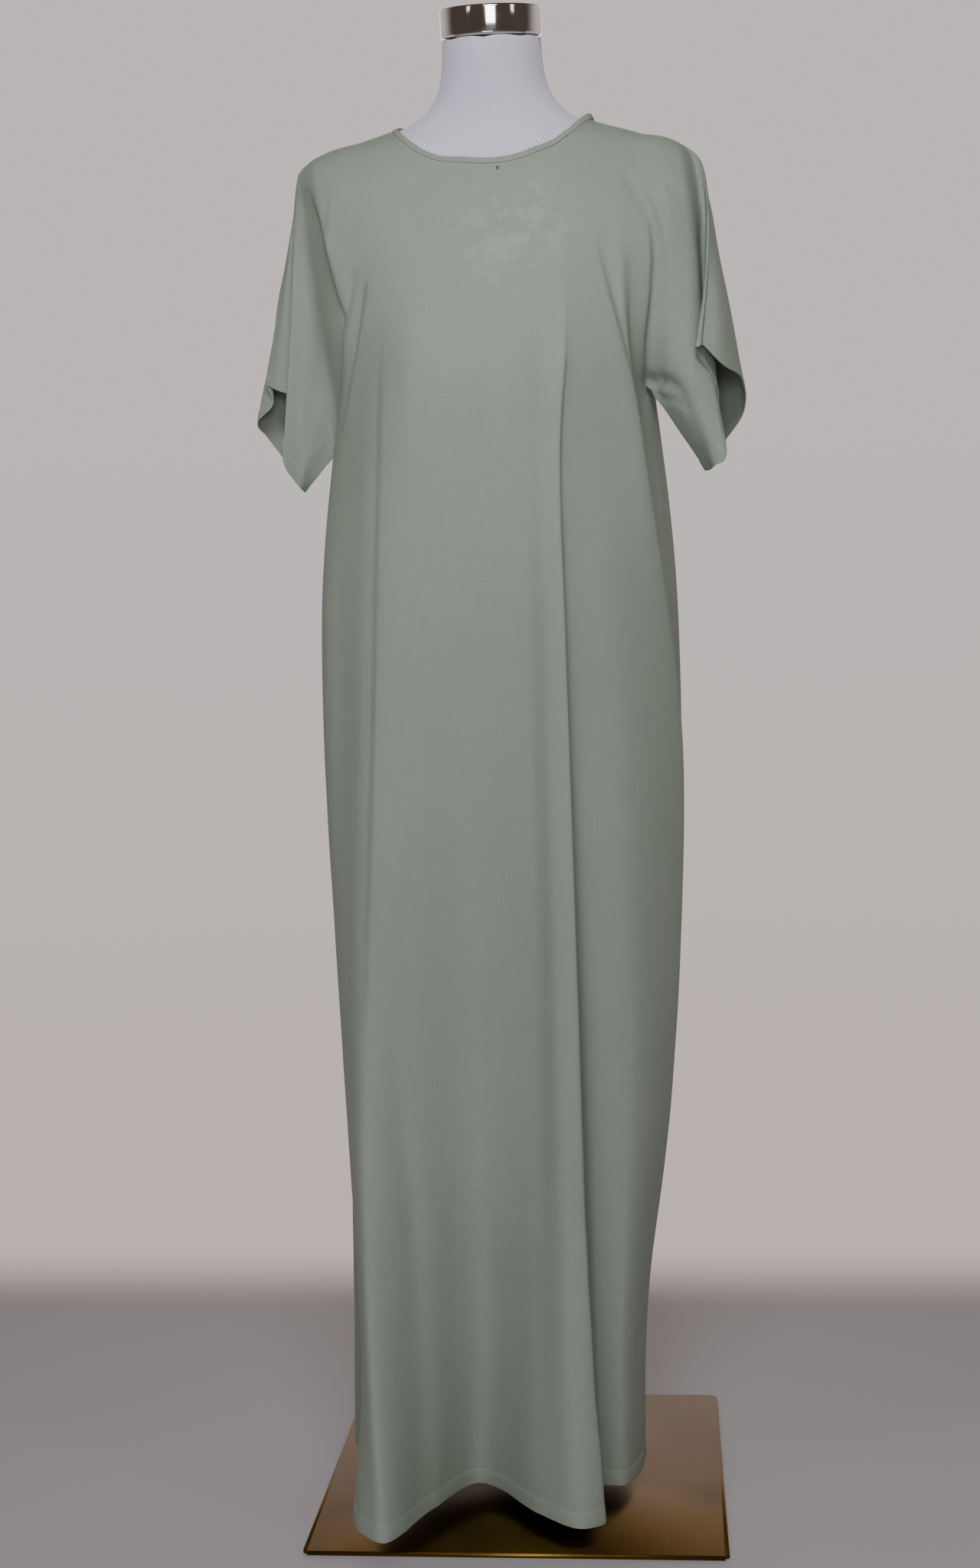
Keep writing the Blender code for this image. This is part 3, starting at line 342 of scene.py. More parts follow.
# Creases of the front and back that lie between the folds, each along a line seen from the front
# name, height, or depth where it is less than nothing, width before the line and after it, x and height
FRONT_CREASES = (
    ("left_armhole", -5.0, 14, 2.6, ((-184, 1301), (-175, 1274), (-164, 1226), (-155, 1192), (-146, 1162))),
    ("left_armhole_lip", 1.6, 3, 12, ((-178, 1290), (-160, 1240), (-150, 1205), (-142, 1170))),
    ("left_armhole_low", -4.0, 10, 3, ((-147, 1175), (-155, 1120), (-160, 1083), (-161, 1050))),
    ("left_shoulder_drag", -2.2, 12, 3, ((-160, 1296), (-163, 1264), (-166, 1240))),
    ("left_bust_side", -4.2, 10, 2.6, ((-121, 1204), (-128, 1165), (-134, 1135), (-143, 1100), (-151, 1062))),
    ("left_bust_fork", -3.0, 8, 3, ((-131, 1212), (-139, 1184), (-146, 1156))),
    ("left_bust_pull", 2.2, 4, 16, ((-113, 1212), (-121, 1169), (-128, 1134), (-139, 1085), (-149, 1045))),
    ("right_drag_one", -3.2, 7, 5, ((110, 1316), (133, 1291), (150, 1262), (155, 1236))),
    ("right_drag_ridge", 1.5, 6, 6, ((126, 1312), (144, 1294), (158, 1264), (162, 1240))),
    ("right_drag_two", -3.0, 5, 6, ((137, 1314), (152, 1292), (159, 1272))),
    ("right_drag_three", -2.8, 5, 6, ((150, 1308), (166, 1289), (178, 1274))),
    ("right_armhole", -8.0, 2.8, 20, ((153, 1252), (156, 1215), (153, 1177), (149, 1146), (145, 1098))),
    ("right_armhole_lip", 1.6, 12, 3, ((146, 1270), (151, 1230), (149, 1190), (144, 1140))),
    ("right_bust_pull", 2.4, 14, 4, ((96, 1236), (106, 1198), (120, 1140), (134, 1074), (148, 960))),
    ("right_bust_dip", -3.0, 3, 12, ((102, 1228), (111, 1190), (126, 1130), (140, 1070))),
    ("left_fine_line", -2.6, 7, 2.6, ((-104, 1150), (-108, 1077), (-118, 884), (-128, 640), (-135, 480))),
    ("left_fine_lip", 1.0, 3, 12, ((-99, 1140), (-103, 1050), (-113, 860), (-124, 620), (-131, 480))),
    ("left_broad_dip", -1.0, 22, 26, ((-49, 1052), (-58, 882), (-66, 739), (-74, 594), (-86, 376))),
    ("low_trough", -3.0, 13, 9, ((-106, 520), (-99, 400), (-91, 318), (-88, 244), (-86, 169), (-85, 20))),
    ("middle_swell", 1.5, 30, 34, ((0, 1040), (-6, 760), (-12, 460), (-20, 240))),
    ("right_face_dip", -1.0, 16, 20, ((30, 900), (34, 620), (40, 340), (44, 150))),
    ("right_plain_swell", 1.8, 18, 20, ((100, 980), (104, 760), (106, 520), (100, 320))),
    ("right_low_drag", -1.6, 9, 12, ((112, 560), (112, 400), (104, 230), (98, 80))),
    ("left_sleeve_trough", -4, 10, 14,
     ((-192, 1300), (-189, 1283), (-185, 1236), (-181, 1159), (-178, 1092), (-172, 1050))),
    ("right_sleeve_line", -1.1, 7, 9, ((170, 1240), (182, 1190), (176, 1140), (168, 1112))),
    ("right_sleeve_line_two", 0.9, 6, 8, ((186, 1230), (192, 1180), (190, 1130), (188, 1090))),
    ("right_underarm_fold", -6.5, 2.4, 7.0, ((140, 1101), (151, 1100), (165, 1097), (180, 1088))),
    ("right_underarm_ridge", 2.0, 4, 4, ((152, 1095), (166, 1091), (182, 1082))),
    ("right_underarm_fold_two", -4.5, 2.2, 6, ((150, 1094), (160, 1088), (170, 1084), (186, 1075))),
)
BACK_CREASES = (
    ("yoke_drag_left", -1.4, 9, 9, ((-118, 1318), (-140, 1292), (-156, 1250), (-160, 1200))),
    ("yoke_drag_right", -1.4, 9, 9, ((112, 1322), (136, 1292), (152, 1254), (158, 1206))),
    ("left_armhole", -2.2, 9, 10, ((-176, 1280), (-170, 1230), (-166, 1170), (-166, 1110))),
    ("right_armhole", -2.4, 10, 9, ((172, 1276), (168, 1226), (160, 1172), (152, 1124))),
    ("left_waist_fall", 2.0, 16, 16, ((-112, 1180), (-116, 1000), (-120, 800), (-124, 600))),
    ("middle_fall", 1.6, 20, 20, ((8, 1160), (6, 960), (4, 700), (2, 460))),
    ("middle_dip", -1.8, 18, 18, ((-38, 1120), (-42, 900), (-46, 640), (-50, 400))),
    ("right_waist_fall", 1.8, 15, 15, ((108, 1150), (110, 960), (106, 720), (98, 500))),
    ("left_sleeve_line", -1.1, 9, 9, ((-200, 1280), (-206, 1210), (-214, 1140), (-224, 1080))),
    ("right_sleeve_line", -1.1, 9, 9, ((196, 1282), (206, 1210), (212, 1140), (216, 1080))),
)

# Small gathers pulled together at the armpits: x, y and height of the pull, and how far it reaches
ARMPIT_GATHERS = ((-166, -18, 1066, 26), (150, -30, 1100, 26))
GATHER_HEIGHT = 1.5
GATHER_PITCH = 9

# How a crease fades at its ends, and how all of them fade below the shoulder seam
CREASE_END = 0.6
CREASES_STOP = 1352 * MM
CREASES_FADE = 30 * MM

# Unevenness of hanging cloth: height, width and length of a ripple
RIPPLES = ((0.9, 46, 420), (0.35, 17, 120), (0.5, 60, 60))
RIPPLE_SHIFT = (7.3, 0, 0)
RIPPLE_START = (0, 1.7, 3.1)
# Ripples grow from this height down over the length, from a share of their height
RIPPLES_GROW_FROM = 1120 * MM
RIPPLES_GROW_OVER = 900 * MM
LEAST_GROWTH = 0.15
FLAT_RIPPLES = 0.35
HEM_PUCKER = (0.7, 17)
HEM_PUCKER_REACH = 16

# How far the turned hem stands out, its edge too, and how deep the stitches sink in
HEM_SWELL = 0.35 * MM
HEM_EDGE_SWELL = 0.1 * MM
STITCH_DITCH = 0.25 * MM

# Stitches: length, gap between two, thread width, height above the cloth
STITCH_LENGTH = 2.6 * MM
STITCH_GAP = 0.9 * MM
THREAD_WIDTH = 0.55 * MM
STITCH_LIFT = 0.1 * MM
# Shares of a stitch's width, width again and length that it has at least and at most
LEAST_STITCH = (0.85, 0.85, 0.88)
MOST_STITCH = (1.1, 1.1, 1.06)
HEM_SEED = 3
CUFF_SEED = 5
NECK_SEED = 7

# Loose overlock threads inside the sleeve opening, and the dark tack under the neckline
THREAD_RADIUS = 0.22 * MM
TACK_RADIUS = 0.35 * MM
THREAD_SIDES = 6
THREAD_STEPS = 8
SIDEWAYS = Vector((0.3, 0.9, 0.2))
LOOSE_THREADS = (
    ((216, 44, 1120), (219, 40, 1113), (222, 43, 1104), (221, 38, 1096)),
    ((220, 44, 1117), (225, 41, 1108), (224, 44, 1098), (228, 40, 1090)),
    ((213, 46, 1116), (212, 42, 1108), (216, 45, 1101)),
)
NECK_TACKS = (
    ((5.4, -72, 1305.2), (7, -72.2, 1304.8), (8.6, -72, 1305.2)),
    ((6.6, -72, 1304.8), (6.2, -73.0, 1303.4), (7.0, -73.4, 1302.6), (7.8, -73.0, 1303.4),
     (7.4, -72, 1304.6)),
)

# Studio: half the floor's side, where it fades behind the object, the world's strength
FLOOR_HALF = 6.0
FLOOR_FADES = (0.5, 0.78)
WORLD_STRENGTH = 1.25
# Lamps: name, place, aim, width and height, watts, spread in degrees, colour
LAMPS = (
    ("key", (0.1, -1.9, 2.6), (0, 0, 1.0), (1.0, 0.4), 23, 180, "#fafcff"),
    ("chest", (0.1, -2.1, 2.6), (0, 0, 1.17), (0.3, 0.3), 0.3, 21, "#fafcff"),
    ("front", (0.15, -2.3, 1.3), (0, 0, 0.7), (0.8, 0.5), 18, 180, "#f8fbff"),
    ("low_fill", (-0.2, -2.3, 0.35), (0, 0, 0.5), (1.0, 0.4), 10, 180, "#ece8ff"),
    ("left_band", (-1.56, -1.56, 2.1), (0, 0, 1.4), (0.3, 1.2), 3, 180, "#ffffff"),
    ("right_band", (1.76, -1.33, 2.1), (0, 0, 1.4), (0.3, 1.2), 3, 180, "#ffffff"),
    ("middle_band", (0.2, -2.3, 2.15), (0, 0, 1.4), (0.06, 1.0), 0.8, 180, "#ffffff"),
    ("rear", (-0.3, 2.6, 2.0), (0, 0, 0.8), (1.6, 1.2), 8, 180, "#fff6ee"),
)

# Cap on the neck
CAP_RADIUS = 49.5 * MM
CAP_HEIGHT = 27.5 * MM
CAP_EDGE = 2.6 * MM
CAP_TILT = math.radians(12)
CAP_FOOT = (0, -15 * MM, 1441.8 * MM)
CAP_SEGMENTS = 160
CAP_EDGE_STEPS = 6

# Base plate's worn edge
PLATE_EDGE = 0.6 * MM
PLATE_EDGE_STEPS = 3

# How close a CAD node's points are joined, and the corners that count as flat or sharp
JOINED_WITHIN = 0.01 * MM
FLAT_CORNER = math.radians(1)
JOINED_CORNER = math.radians(40)
SHARP_CORNER = math.radians(60)

# Ribs of the jersey round the neck's axis, fewer than the real ones, so that they show
JERSEY_AXIS_Y = -15 * MM
JERSEY_RIBS = 132.0

# Colours of the crepe in its valleys and on its yarns, and a paler colour where the press marked it, which
# paints the marks' shine in (painted sheen)
CREPE_DEEP = "#7d8779"
CREPE_PALE = "#8f9889"
CREPE_PRESS_SHEEN = "#afb8aa"
# Threads lie 0.3 mm apart in the real cloth, and are drawn 1.1 mm apart so that they show
THREAD_PITCH = 1.1 * MM
# Press marks, their shine painted in as a paler colour (painted sheen): their middle on the chest, and how
# far they reach each way, in millimetres
PRESS_SHEEN_CENTRE = (21.6, -120, 1245.9)
PRESS_SHEEN_REACH = (80, 125, 82)


def linear(code):
    """sRGB hex colour as linear red, green, blue and full alpha."""
    out = []
    for k in (1, 3, 5):
        value = int(code[k:k + 2], 16) / 255
        out.append(value / 12.92 if value <= 0.04045 else ((value + 0.055) / 1.055) ** 2.4)
    return (*out, 1.0)


def fill(tree, node, inputs):
    """Fill a node's inputs with values or outputs. A node as a value stands for its first output."""
    for name, value in inputs.items():
        if isinstance(value, bpy.types.Node):
            value = value.outputs[0]
        if isinstance(value, bpy.types.NodeSocket):
            tree.links.new(value, node.inputs[name])
        else:
            node.inputs[name].default_value = value


def add(tree, kind, inputs=None, **settings):
    """Add a node, set its properties and fill its inputs."""
    made = tree.nodes.new(kind)
    for name, value in settings.items():
        setattr(made, name, value)
    fill(tree, made, inputs or {})
    return made


def principled(name, **sockets):
    """New material with its shader's own sockets set. Returns the material, its tree and its shader."""
    material = bpy.data.materials.new(name)
    material.use_nodes = True
    tree = material.node_tree
    shader = tree.nodes["Principled BSDF"]
    for socket, value in sockets.items():
        shader.inputs[socket.replace("_", " ")].default_value = value
    return material, tree, shader


def sage_crepe():
    """Plain-woven polyester crepe: matt with a soft nap of light, faint uneven threads, and press marks on
    the chest whose shine is painted in as a paler colour.
    """
    material, tree, shader = principled("sage_polyester_crepe", Roughness=0.78, Sheen_Weight=0.06,
                                        Sheen_Roughness=0.45, Sheen_Tint=linear("#dfe6dd"),
                                        Specular_IOR_Level=0.2, IOR=1.5)
    place = add(tree, "ShaderNodeTexCoord").outputs["Object"]
    cloth = add(tree, "ShaderNodeUVMap", uv_map="cloth")
    thread = 2 * math.pi / THREAD_PITCH
    split = add(tree, "ShaderNodeSeparateXYZ", {"Vector": cloth})
    warp_angle = add(tree, "ShaderNodeMath", {0: split.outputs["X"], 1: thread}, operation="MULTIPLY")
    weft_angle = add(tree, "ShaderNodeMath", {0: split.outputs["Y"], 1: thread}, operation="MULTIPLY")
    warp = add(tree, "ShaderNodeMath", {0: warp_angle}, operation="SINE")
    weft = add(tree, "ShaderNodeMath", {0: weft_angle}, operation="SINE")
    weave = add(tree, "ShaderNodeMath", {0: warp, 1: weft}, operation="MULTIPLY")
    # Thicker yarns, about 1 mm wide, run for some 30 mm down the cloth and across it
    stretch = add(tree, "ShaderNodeMapping", {"Vector": cloth, "Scale": (900, 30, 1)})
    slubs = add(tree, "ShaderNodeTexNoise", {"Vector": stretch, "Scale": 1.0, "Detail": 3.0})
    cross = add(tree, "ShaderNodeMapping", {"Vector": cloth, "Scale": (40, 1100, 1)})
    picks = add(tree, "ShaderNodeTexNoise", {"Vector": cross, "Scale": 1.0, "Detail": 3.0})
    pebble = add(tree, "ShaderNodeTexNoise", {"Vector": cloth, "Scale": 650.0, "Detail": 2.0})
    clouds = add(tree, "ShaderNodeTexNoise", {"Vector": place, "Scale": 5.0, "Detail": 3.0})
    # Faint marks of the press, each some 20 mm across, in one patch on the chest; their shine is painted in
    # as a paler colour (painted sheen)
    scale = [1 / (reach * MM) for reach in PRESS_SHEEN_REACH]
    shift = [-centre * MM * share for centre, share in zip(PRESS_SHEEN_CENTRE, scale)]
    press_sheen_box = add(tree, "ShaderNodeMapping", {"Vector": place, "Location": shift, "Scale": scale})
    press_sheen_far = add(tree, "ShaderNodeVectorMath", {0: press_sheen_box}, operation="LENGTH")
    press_sheen_near = add(tree, "ShaderNodeMapRange", {"Value": press_sheen_far.outputs["Value"], "From Min": 0.15,
                                                  "From Max": 1.0, "To Min": 1.0, "To Max": 0.0})
    marks = add(tree, "ShaderNodeTexNoise", {"Vector": place, "Scale": 48.0, "Detail": 6.0,
                                             "Roughness": 0.68})
    press_sheen_cut = add(tree, "ShaderNodeMapRange", {"Value": marks, "From Min": 0.46, "From Max": 0.7,
                                                 "To Min": 0.0, "To Max": 0.55})
    press_sheen_there = add(tree, "ShaderNodeMath", {0: press_sheen_cut, 1: press_sheen_near}, operation="MULTIPLY")
    yarns = add(tree, "ShaderNodeMath", {0: slubs, 1: picks}, operation="ADD")
    tone = add(tree, "ShaderNodeMath", {0: yarns, 1: clouds}, operation="ADD")
    shade = add(tree, "ShaderNodeMapRange", {"Value": tone, "From Min": 0.7, "From Max": 2.3})
    ramp = add(tree, "ShaderNodeMix", {"Factor": shade, "A": linear(CREPE_DEEP),
                                       "B": linear(CREPE_PALE)}, data_type="RGBA")
    # Painted sheen: the press marks' shine, mixed into the colour as a paler tone
    colour = add(tree, "ShaderNodeMix", {"Factor": press_sheen_there, "A": ramp.outputs["Result"],
                                         "B": linear(CREPE_PRESS_SHEEN)}, data_type="RGBA")
    relief = add(tree, "ShaderNodeMath", {0: weave, 1: 0.35}, operation="MULTIPLY")
    fine = add(tree, "ShaderNodeMath", {0: relief, 1: pebble}, operation="ADD")
    relief_all = add(tree, "ShaderNodeMath", {0: fine, 1: yarns}, operation="ADD")
    bump = add(tree, "ShaderNodeBump", {"Height": relief_all, "Strength": 0.22, "Distance": 0.1 * MM})
    fill(tree, shader, {"Base Color": colour.outputs["Result"], "Normal": bump})
    return material


def spun_thread(name, deep, pale, grain, **sockets):
    """Spun thread with a low shine, its tone uneven from its twist."""
    material, tree, shader = principled(name, **sockets)
    place = add(tree, "ShaderNodeTexCoord").outputs["Object"]
    twist = add(tree, "ShaderNodeTexNoise", {"Vector": place, "Scale": grain, "Detail": 1.0})
    colour = add(tree, "ShaderNodeMix", {"Factor": twist, "A": linear(deep),
                                         "B": linear(pale)}, data_type="RGBA")
    fill(tree, shader, {"Base Color": colour.outputs["Result"]})
    return material


def ribbed_jersey():
    """White knitted jersey stretched over the form: fine upright ribs, soft and matt, with painted shade in
    the grooves between the ribs.
    """
    material, tree, shader = principled("ribbed_cotton_jersey", Roughness=0.85, Sheen_Weight=0.25,
                                        Sheen_Roughness=0.5, Specular_IOR_Level=0.25)
    place = add(tree, "ShaderNodeTexCoord").outputs["Object"]
    split = add(tree, "ShaderNodeSeparateXYZ", {"Vector": place})
    deep = add(tree, "ShaderNodeMath", {0: split.outputs["Y"], 1: JERSEY_AXIS_Y}, operation="SUBTRACT")
    angle = add(tree, "ShaderNodeMath", {0: split.outputs["X"], 1: deep}, operation="ARCTAN2")
    turns = add(tree, "ShaderNodeMath", {0: angle, 1: JERSEY_RIBS}, operation="MULTIPLY")
    # The knitting wanders a little, so that the ribs are not ruled lines
    wander = add(tree, "ShaderNodeTexNoise", {"Vector": place, "Scale": 30.0, "Detail": 1.0})
    sway = add(tree, "ShaderNodeMath", {0: wander, 1: 3.0}, operation="MULTIPLY")
    phase = add(tree, "ShaderNodeMath", {0: turns, 1: sway}, operation="ADD")
    ribs = add(tree, "ShaderNodeMath", {0: phase}, operation="SINE")
    # Painted shade: the colour follows the ribs' height, darker in the grooves between them
    tone = add(tree, "ShaderNodeMapRange", {"Value": ribs, "From Min": -1.0, "From Max": 0.6})
    colour = add(tree, "ShaderNodeMix", {"Factor": tone, "A": linear("#b6b2c2"),
                                         "B": linear("#d9d4e2")}, data_type="RGBA")
    bump = add(tree, "ShaderNodeBump", {"Height": ribs, "Strength": 0.5, "Distance": 0.12 * MM})
    fill(tree, shader, {"Base Color": colour.outputs["Result"], "Normal": bump})
    return material


def polished_chrome():
    """Chromed steel, polished: a mirror with faint wiping marks."""
    material, tree, shader = principled("polished_chromed_steel", Metallic=1.0)
    place = add(tree, "ShaderNodeTexCoord").outputs["Object"]
    wipes = add(tree, "ShaderNodeTexNoise", {"Vector": place, "Scale": 60.0, "Detail": 5.0})
    rough = add(tree, "ShaderNodeMapRange", {"Value": wipes, "To Min": 0.03, "To Max": 0.13})
    colour = add(tree, "ShaderNodeMix", {"Factor": wipes, "A": linear("#c9c5c1"),
                                         "B": linear("#dad7d3")}, data_type="RGBA")
    fill(tree, shader, {"Base Color": colour.outputs["Result"], "Roughness": rough})
    return material


def brushed_brass():
    """Brass-plated steel sheet, brushed from front to back: warm brown gold with fine streaks."""
    material, tree, shader = principled("brushed_brass_plate", Metallic=1.0, Anisotropic=0.3)
    place = add(tree, "ShaderNodeTexCoord").outputs["Object"]
    # Brush marks some 0.5 mm wide and 60 mm long
    stretch = add(tree, "ShaderNodeMapping", {"Vector": place, "Scale": (1800, 16, 16)})
    streaks = add(tree, "ShaderNodeTexNoise", {"Vector": stretch, "Scale": 1.0, "Detail": 4.0})
    clouds = add(tree, "ShaderNodeTexNoise", {"Vector": place, "Scale": 9.0, "Detail": 4.0})
    tone = add(tree, "ShaderNodeMath", {0: streaks, 1: clouds}, operation="ADD")
    shade = add(tree, "ShaderNodeMapRange", {"Value": tone, "From Min": 0.6, "From Max": 1.4})
    colour = add(tree, "ShaderNodeMix", {"Factor": shade, "A": linear("#62491e"),
                                         "B": linear("#82642c")}, data_type="RGBA")
    rough = add(tree, "ShaderNodeMapRange", {"Value": streaks, "To Min": 0.26, "To Max": 0.42})
    bump = add(tree, "ShaderNodeBump", {"Height": streaks, "Strength": 0.25, "Distance": 0.05 * MM})
    fill(tree, shader, {"Base Color": colour.outputs["Result"], "Roughness": rough, "Normal": bump})
    return material


def spline(knots, values, at):
    """Smooth curve through vectors at rising knots, read at one place."""
    last = len(knots) - 1
    at = min(max(at, knots[0]), knots[last])
    k = 0
    while k < last - 1 and at > knots[k + 1]:
        k += 1
    span = knots[k + 1] - knots[k]

    def slope(i):
        if i == 0:
            return (values[1] - values[0]) / (knots[1] - knots[0])
        if i == last:
            return (values[last] - values[last - 1]) / (knots[last] - knots[last - 1])
        before = (values[i] - values[i - 1]) / (knots[i] - knots[i - 1])
        after = (values[i + 1] - values[i]) / (knots[i + 1] - knots[i])
        width_before = knots[i] - knots[i - 1]
        width_after = knots[i + 1] - knots[i]
        return (before * width_after + after * width_before) / (width_before + width_after)

    t = (at - knots[k]) / span
    start, end = values[k], values[k + 1]
    return (
        start * (2 * t**3 - 3 * t**2 + 1)
        + slope(k) * span * (t**3 - 2 * t**2 + t)
        + end * (3 * t**2 - 2 * t**3)
        + slope(k + 1) * span * (t**3 - t**2)
    )


def across(points, cells):
    """Points along a smooth curve through the fold points, with so many cells between each two."""
    # Knots by the distances' square roots keep the curve from swinging out at sharp turns
    knots = [0.0]
    for a, b in zip(points, points[1:]):
        knots.append(knots[-1] + max((b - a).length, SHORTEST_SPAN) ** 0.5)
    out = [points[0].copy()]
    for k, count in enumerate(cells):
        for step in range(1, count + 1):
            at = knots[k] + (knots[k + 1] - knots[k]) * step / count
            out.append(spline(knots, points, at))
    return out


def relax(line, passes):
    """Even out a line of points, both its ends kept."""
    points = np.array([tuple(p) for p in line])
    for _ in range(passes):
        points[1:-1] += 0.5 * ((points[:-2] + points[2:]) / 2 - points[1:-1])
    return [Vector(p) for p in points]


def read_table(table, at):
    """Value of a two-column table at a place, in straight steps."""
    for (a, low), (b, high) in zip(table, table[1:]):
        if at <= b:
            return low + (high - low) * (at - a) / (b - a)
    return table[-1][1]


def seam_height(x):
    """Height of the shoulder seam above a given x."""
    return read_table(SHOULDER_SEAM, abs(x) / MM) * MM


def neckline(x, depth, drop):
    """Point of the neckline's front or back half above a given x, dipping sooner on the left of it."""
    along = (x - NECK_CENTRE_X) / NECK_HALF_WIDTH
    low = math.sqrt(max(0.0, 1 - along * along))
    dip = NECK_DIP + NECK_DIP_SLANT * along
    return Vector((x, depth * low, NECK_POINT_HEIGHT - drop * low**dip))


def top_point(x, depth, drop):
    """Top edge of a panel: neckline in the middle, shoulder seam beyond it."""
    if abs(x - NECK_CENTRE_X) < NECK_HALF_WIDTH - NECK_POINT_WIDTH:
        return neckline(x, depth, drop)
    return Vector((x, 0.0, seam_height(x)))


def even(count):
    """Equal shares up to the whole."""
    return [step / count for step in range(1, count + 1)]


def even_then_hem(count, length):
    """Shares down a length, close together over its last stretch, where the hem is."""
    hem = CLOSE_ROWS * HEM_DEPTH / length
    return [share * (1 - hem) for share in even(count)] + [1 - hem + hem * share for share in even(HEM_ROWS)]


# Rows as stages down the body: up to 1 to the chest, up to 2 to the armpit, up to 3 to the hem
BODY_STAGES = (
    [0.0] + even(TOP_ROWS) + [1 + share for share in even(CHEST_ROWS)]
    + [2 + share for share in even_then_hem(SKIRT_ROWS, SKIRT_LENGTH)]
)
JOINED = TOP_ROWS + CHEST_ROWS
CUFF_SHARES = even_then_hem(CUFF_ROWS, CUFF_LENGTH)


def fold_line(top, heights, xs, ys):
    """Fold as a function that gives its point from the stage and the heights of armpit and hem."""
    knots = [-h * MM for h in heights]
    points = [Vector((x, y, h)) * MM for x, y, h in zip(xs, ys, heights)]
    on_seam = 1 - min(1.0, abs(top.y) / SEAM_ROLL)
    beyond = abs(abs(top.x - NECK_CENTRE_X) - NECK_HALF_WIDTH)
    on_seam *= 1 - FLAT_ROLL * max(0.0, 1 - beyond / FLAT_ROLL_REACH)
    chest = spline(knots, points, -CHEST_HEIGHT * MM)

    def point(stage, armpit_height, hem_height):
        if stage <= 1:
            forward = (1 - on_seam) * stage + on_seam * math.sin(stage * math.pi / 2)
            down = (1 - on_seam) * stage + on_seam * (1 - math.cos(stage * math.pi / 2))
            lean = stage * stage * (2 - stage)
            return Vector((
                top.x + (chest.x - top.x) * lean,
                top.y + (chest.y - top.y) * forward,
                top.z + (chest.z - top.z) * down,
            ))
        if stage <= 2:
            height = CHEST_HEIGHT * MM + (armpit_height - CHEST_HEIGHT * MM) * (stage - 1)
        else:
            height = armpit_height + (hem_height - armpit_height) * (stage - 2)
        place = spline(knots, points, -height)
        place.z = height
        return place

    return point


def body_lines(folds, hem, column, depth, drop):
    """Each fold of a panel as its points down the rows, both edges first and last."""
    shift = 1 if column == "front" else 3
    tops = [LEFT_ARMHOLE_TOP_X] + [fold[1] for fold in folds] + [RIGHT_ARMHOLE_TOP_X]
    armpits = (LEFT_ARMHOLE[-1][0], RIGHT_ARMHOLE[-1][0])
    lines = []
    for index, top_x in enumerate(tops):
        top = top_point(top_x * MM, depth, drop)
        share = index / (len(tops) - 1)
        armpit = (armpits[0] + (armpits[1] - armpits[0]) * share) * MM
        low = hem[index] * MM
        if 0 < index < len(tops) - 1:
            line = fold_line(top, HEIGHTS, folds[index - 1][3], folds[index - 1][4])
            points = [line(stage, armpit, low) for stage in BODY_STAGES]
            lines.append(points[:TOP_ROWS] + relax(points[TOP_ROWS:], RELAX_PASSES))
            continue
        armhole = LEFT_ARMHOLE if index == 0 else RIGHT_ARMHOLE
        side = 1 if index == 0 else 3
        upper = [(row[0], row[shift], row[shift + 1]) for row in armhole]
        seam_top = armhole[-1][0] - ARMPIT_BLEND
        seam_rows = [row for row in SIDE_SEAMS if row[0] < seam_top]
        lower = upper[-1:] + [(row[0], row[side], row[side + 1]) for row in seam_rows]
        above = fold_line(top, *zip(*upper))
        below = fold_line(top, *zip(*lower))
        points = [above(stage, armpit, low) for stage in BODY_STAGES[:JOINED + 1]]
        seam = [below(stage, armpit, low) for stage in BODY_STAGES[JOINED:]]
        lines.append(relax(points, SLEEVE_RELAX_PASSES)[:-1] + relax(seam, RELAX_PASSES))
    return lines


def neck_angle(x):
    """Angle round the neckline above a given x, none at the left neck point."""
    return math.acos(max(-1.0, min(1.0, (x - NECK_CENTRE_X) / NECK_HALF_WIDTH)))


def top_edge(points, cells, depth, drop):
    """The top row keeps to the seam and, evenly by angle, to the neckline between the folds."""
    out = [points[0].copy()]
    for a, b, count in zip(points, points[1:], cells):
        start, end = neck_angle(a.x), neck_angle(b.x)
        for step in range(1, count + 1):
            share = step / count
            x = a.x + (b.x - a.x) * share
            if step < count and abs(x - NECK_CENTRE_X) < NECK_HALF_WIDTH:
                x = NECK_CENTRE_X + NECK_HALF_WIDTH * math.cos(start + (end - start) * share)
            out.append(top_point(x, depth, drop))
    return out


def body_grid(folds, hem, column, depth, drop):
    """Rows of points from the left armhole line and side seam to the right ones."""
    lines = body_lines(folds, hem, column, depth, drop)
    cells = [ARMHOLE_CELLS * FINE_CELLS] + [fold[2] * FINE_CELLS for fold in folds]
    tops = [line[0] for line in lines]
    edge = top_edge(tops, cells, depth, drop)
    shifts = [wanted - plain for wanted, plain in zip(edge, across(tops, cells))]
    rows = [edge]
    for row in range(1, len(BODY_STAGES)):
        share = max(0.0, 1 - row / EDGE_BLEND_ROWS) ** 2
        plain = across([line[row] for line in lines], cells)
        rows.append([point + shift * share for point, shift in zip(plain, shifts)])
    return rows


def sleeve_point(line, at):
    """Point of a sleeve's fold line, rounded out over the shoulder."""
    place = spline(SLEEVE_STATIONS, line, at)
    share = at / SLEEVE_STATIONS[1]
    if share < 1:
        swell = SHOULDER_ROUNDING * 4 * share * (1 - share)
        place.y += (line[1].y - line[0].y) * swell
        place.z += (line[0].z - line[1].z) * swell
    return place


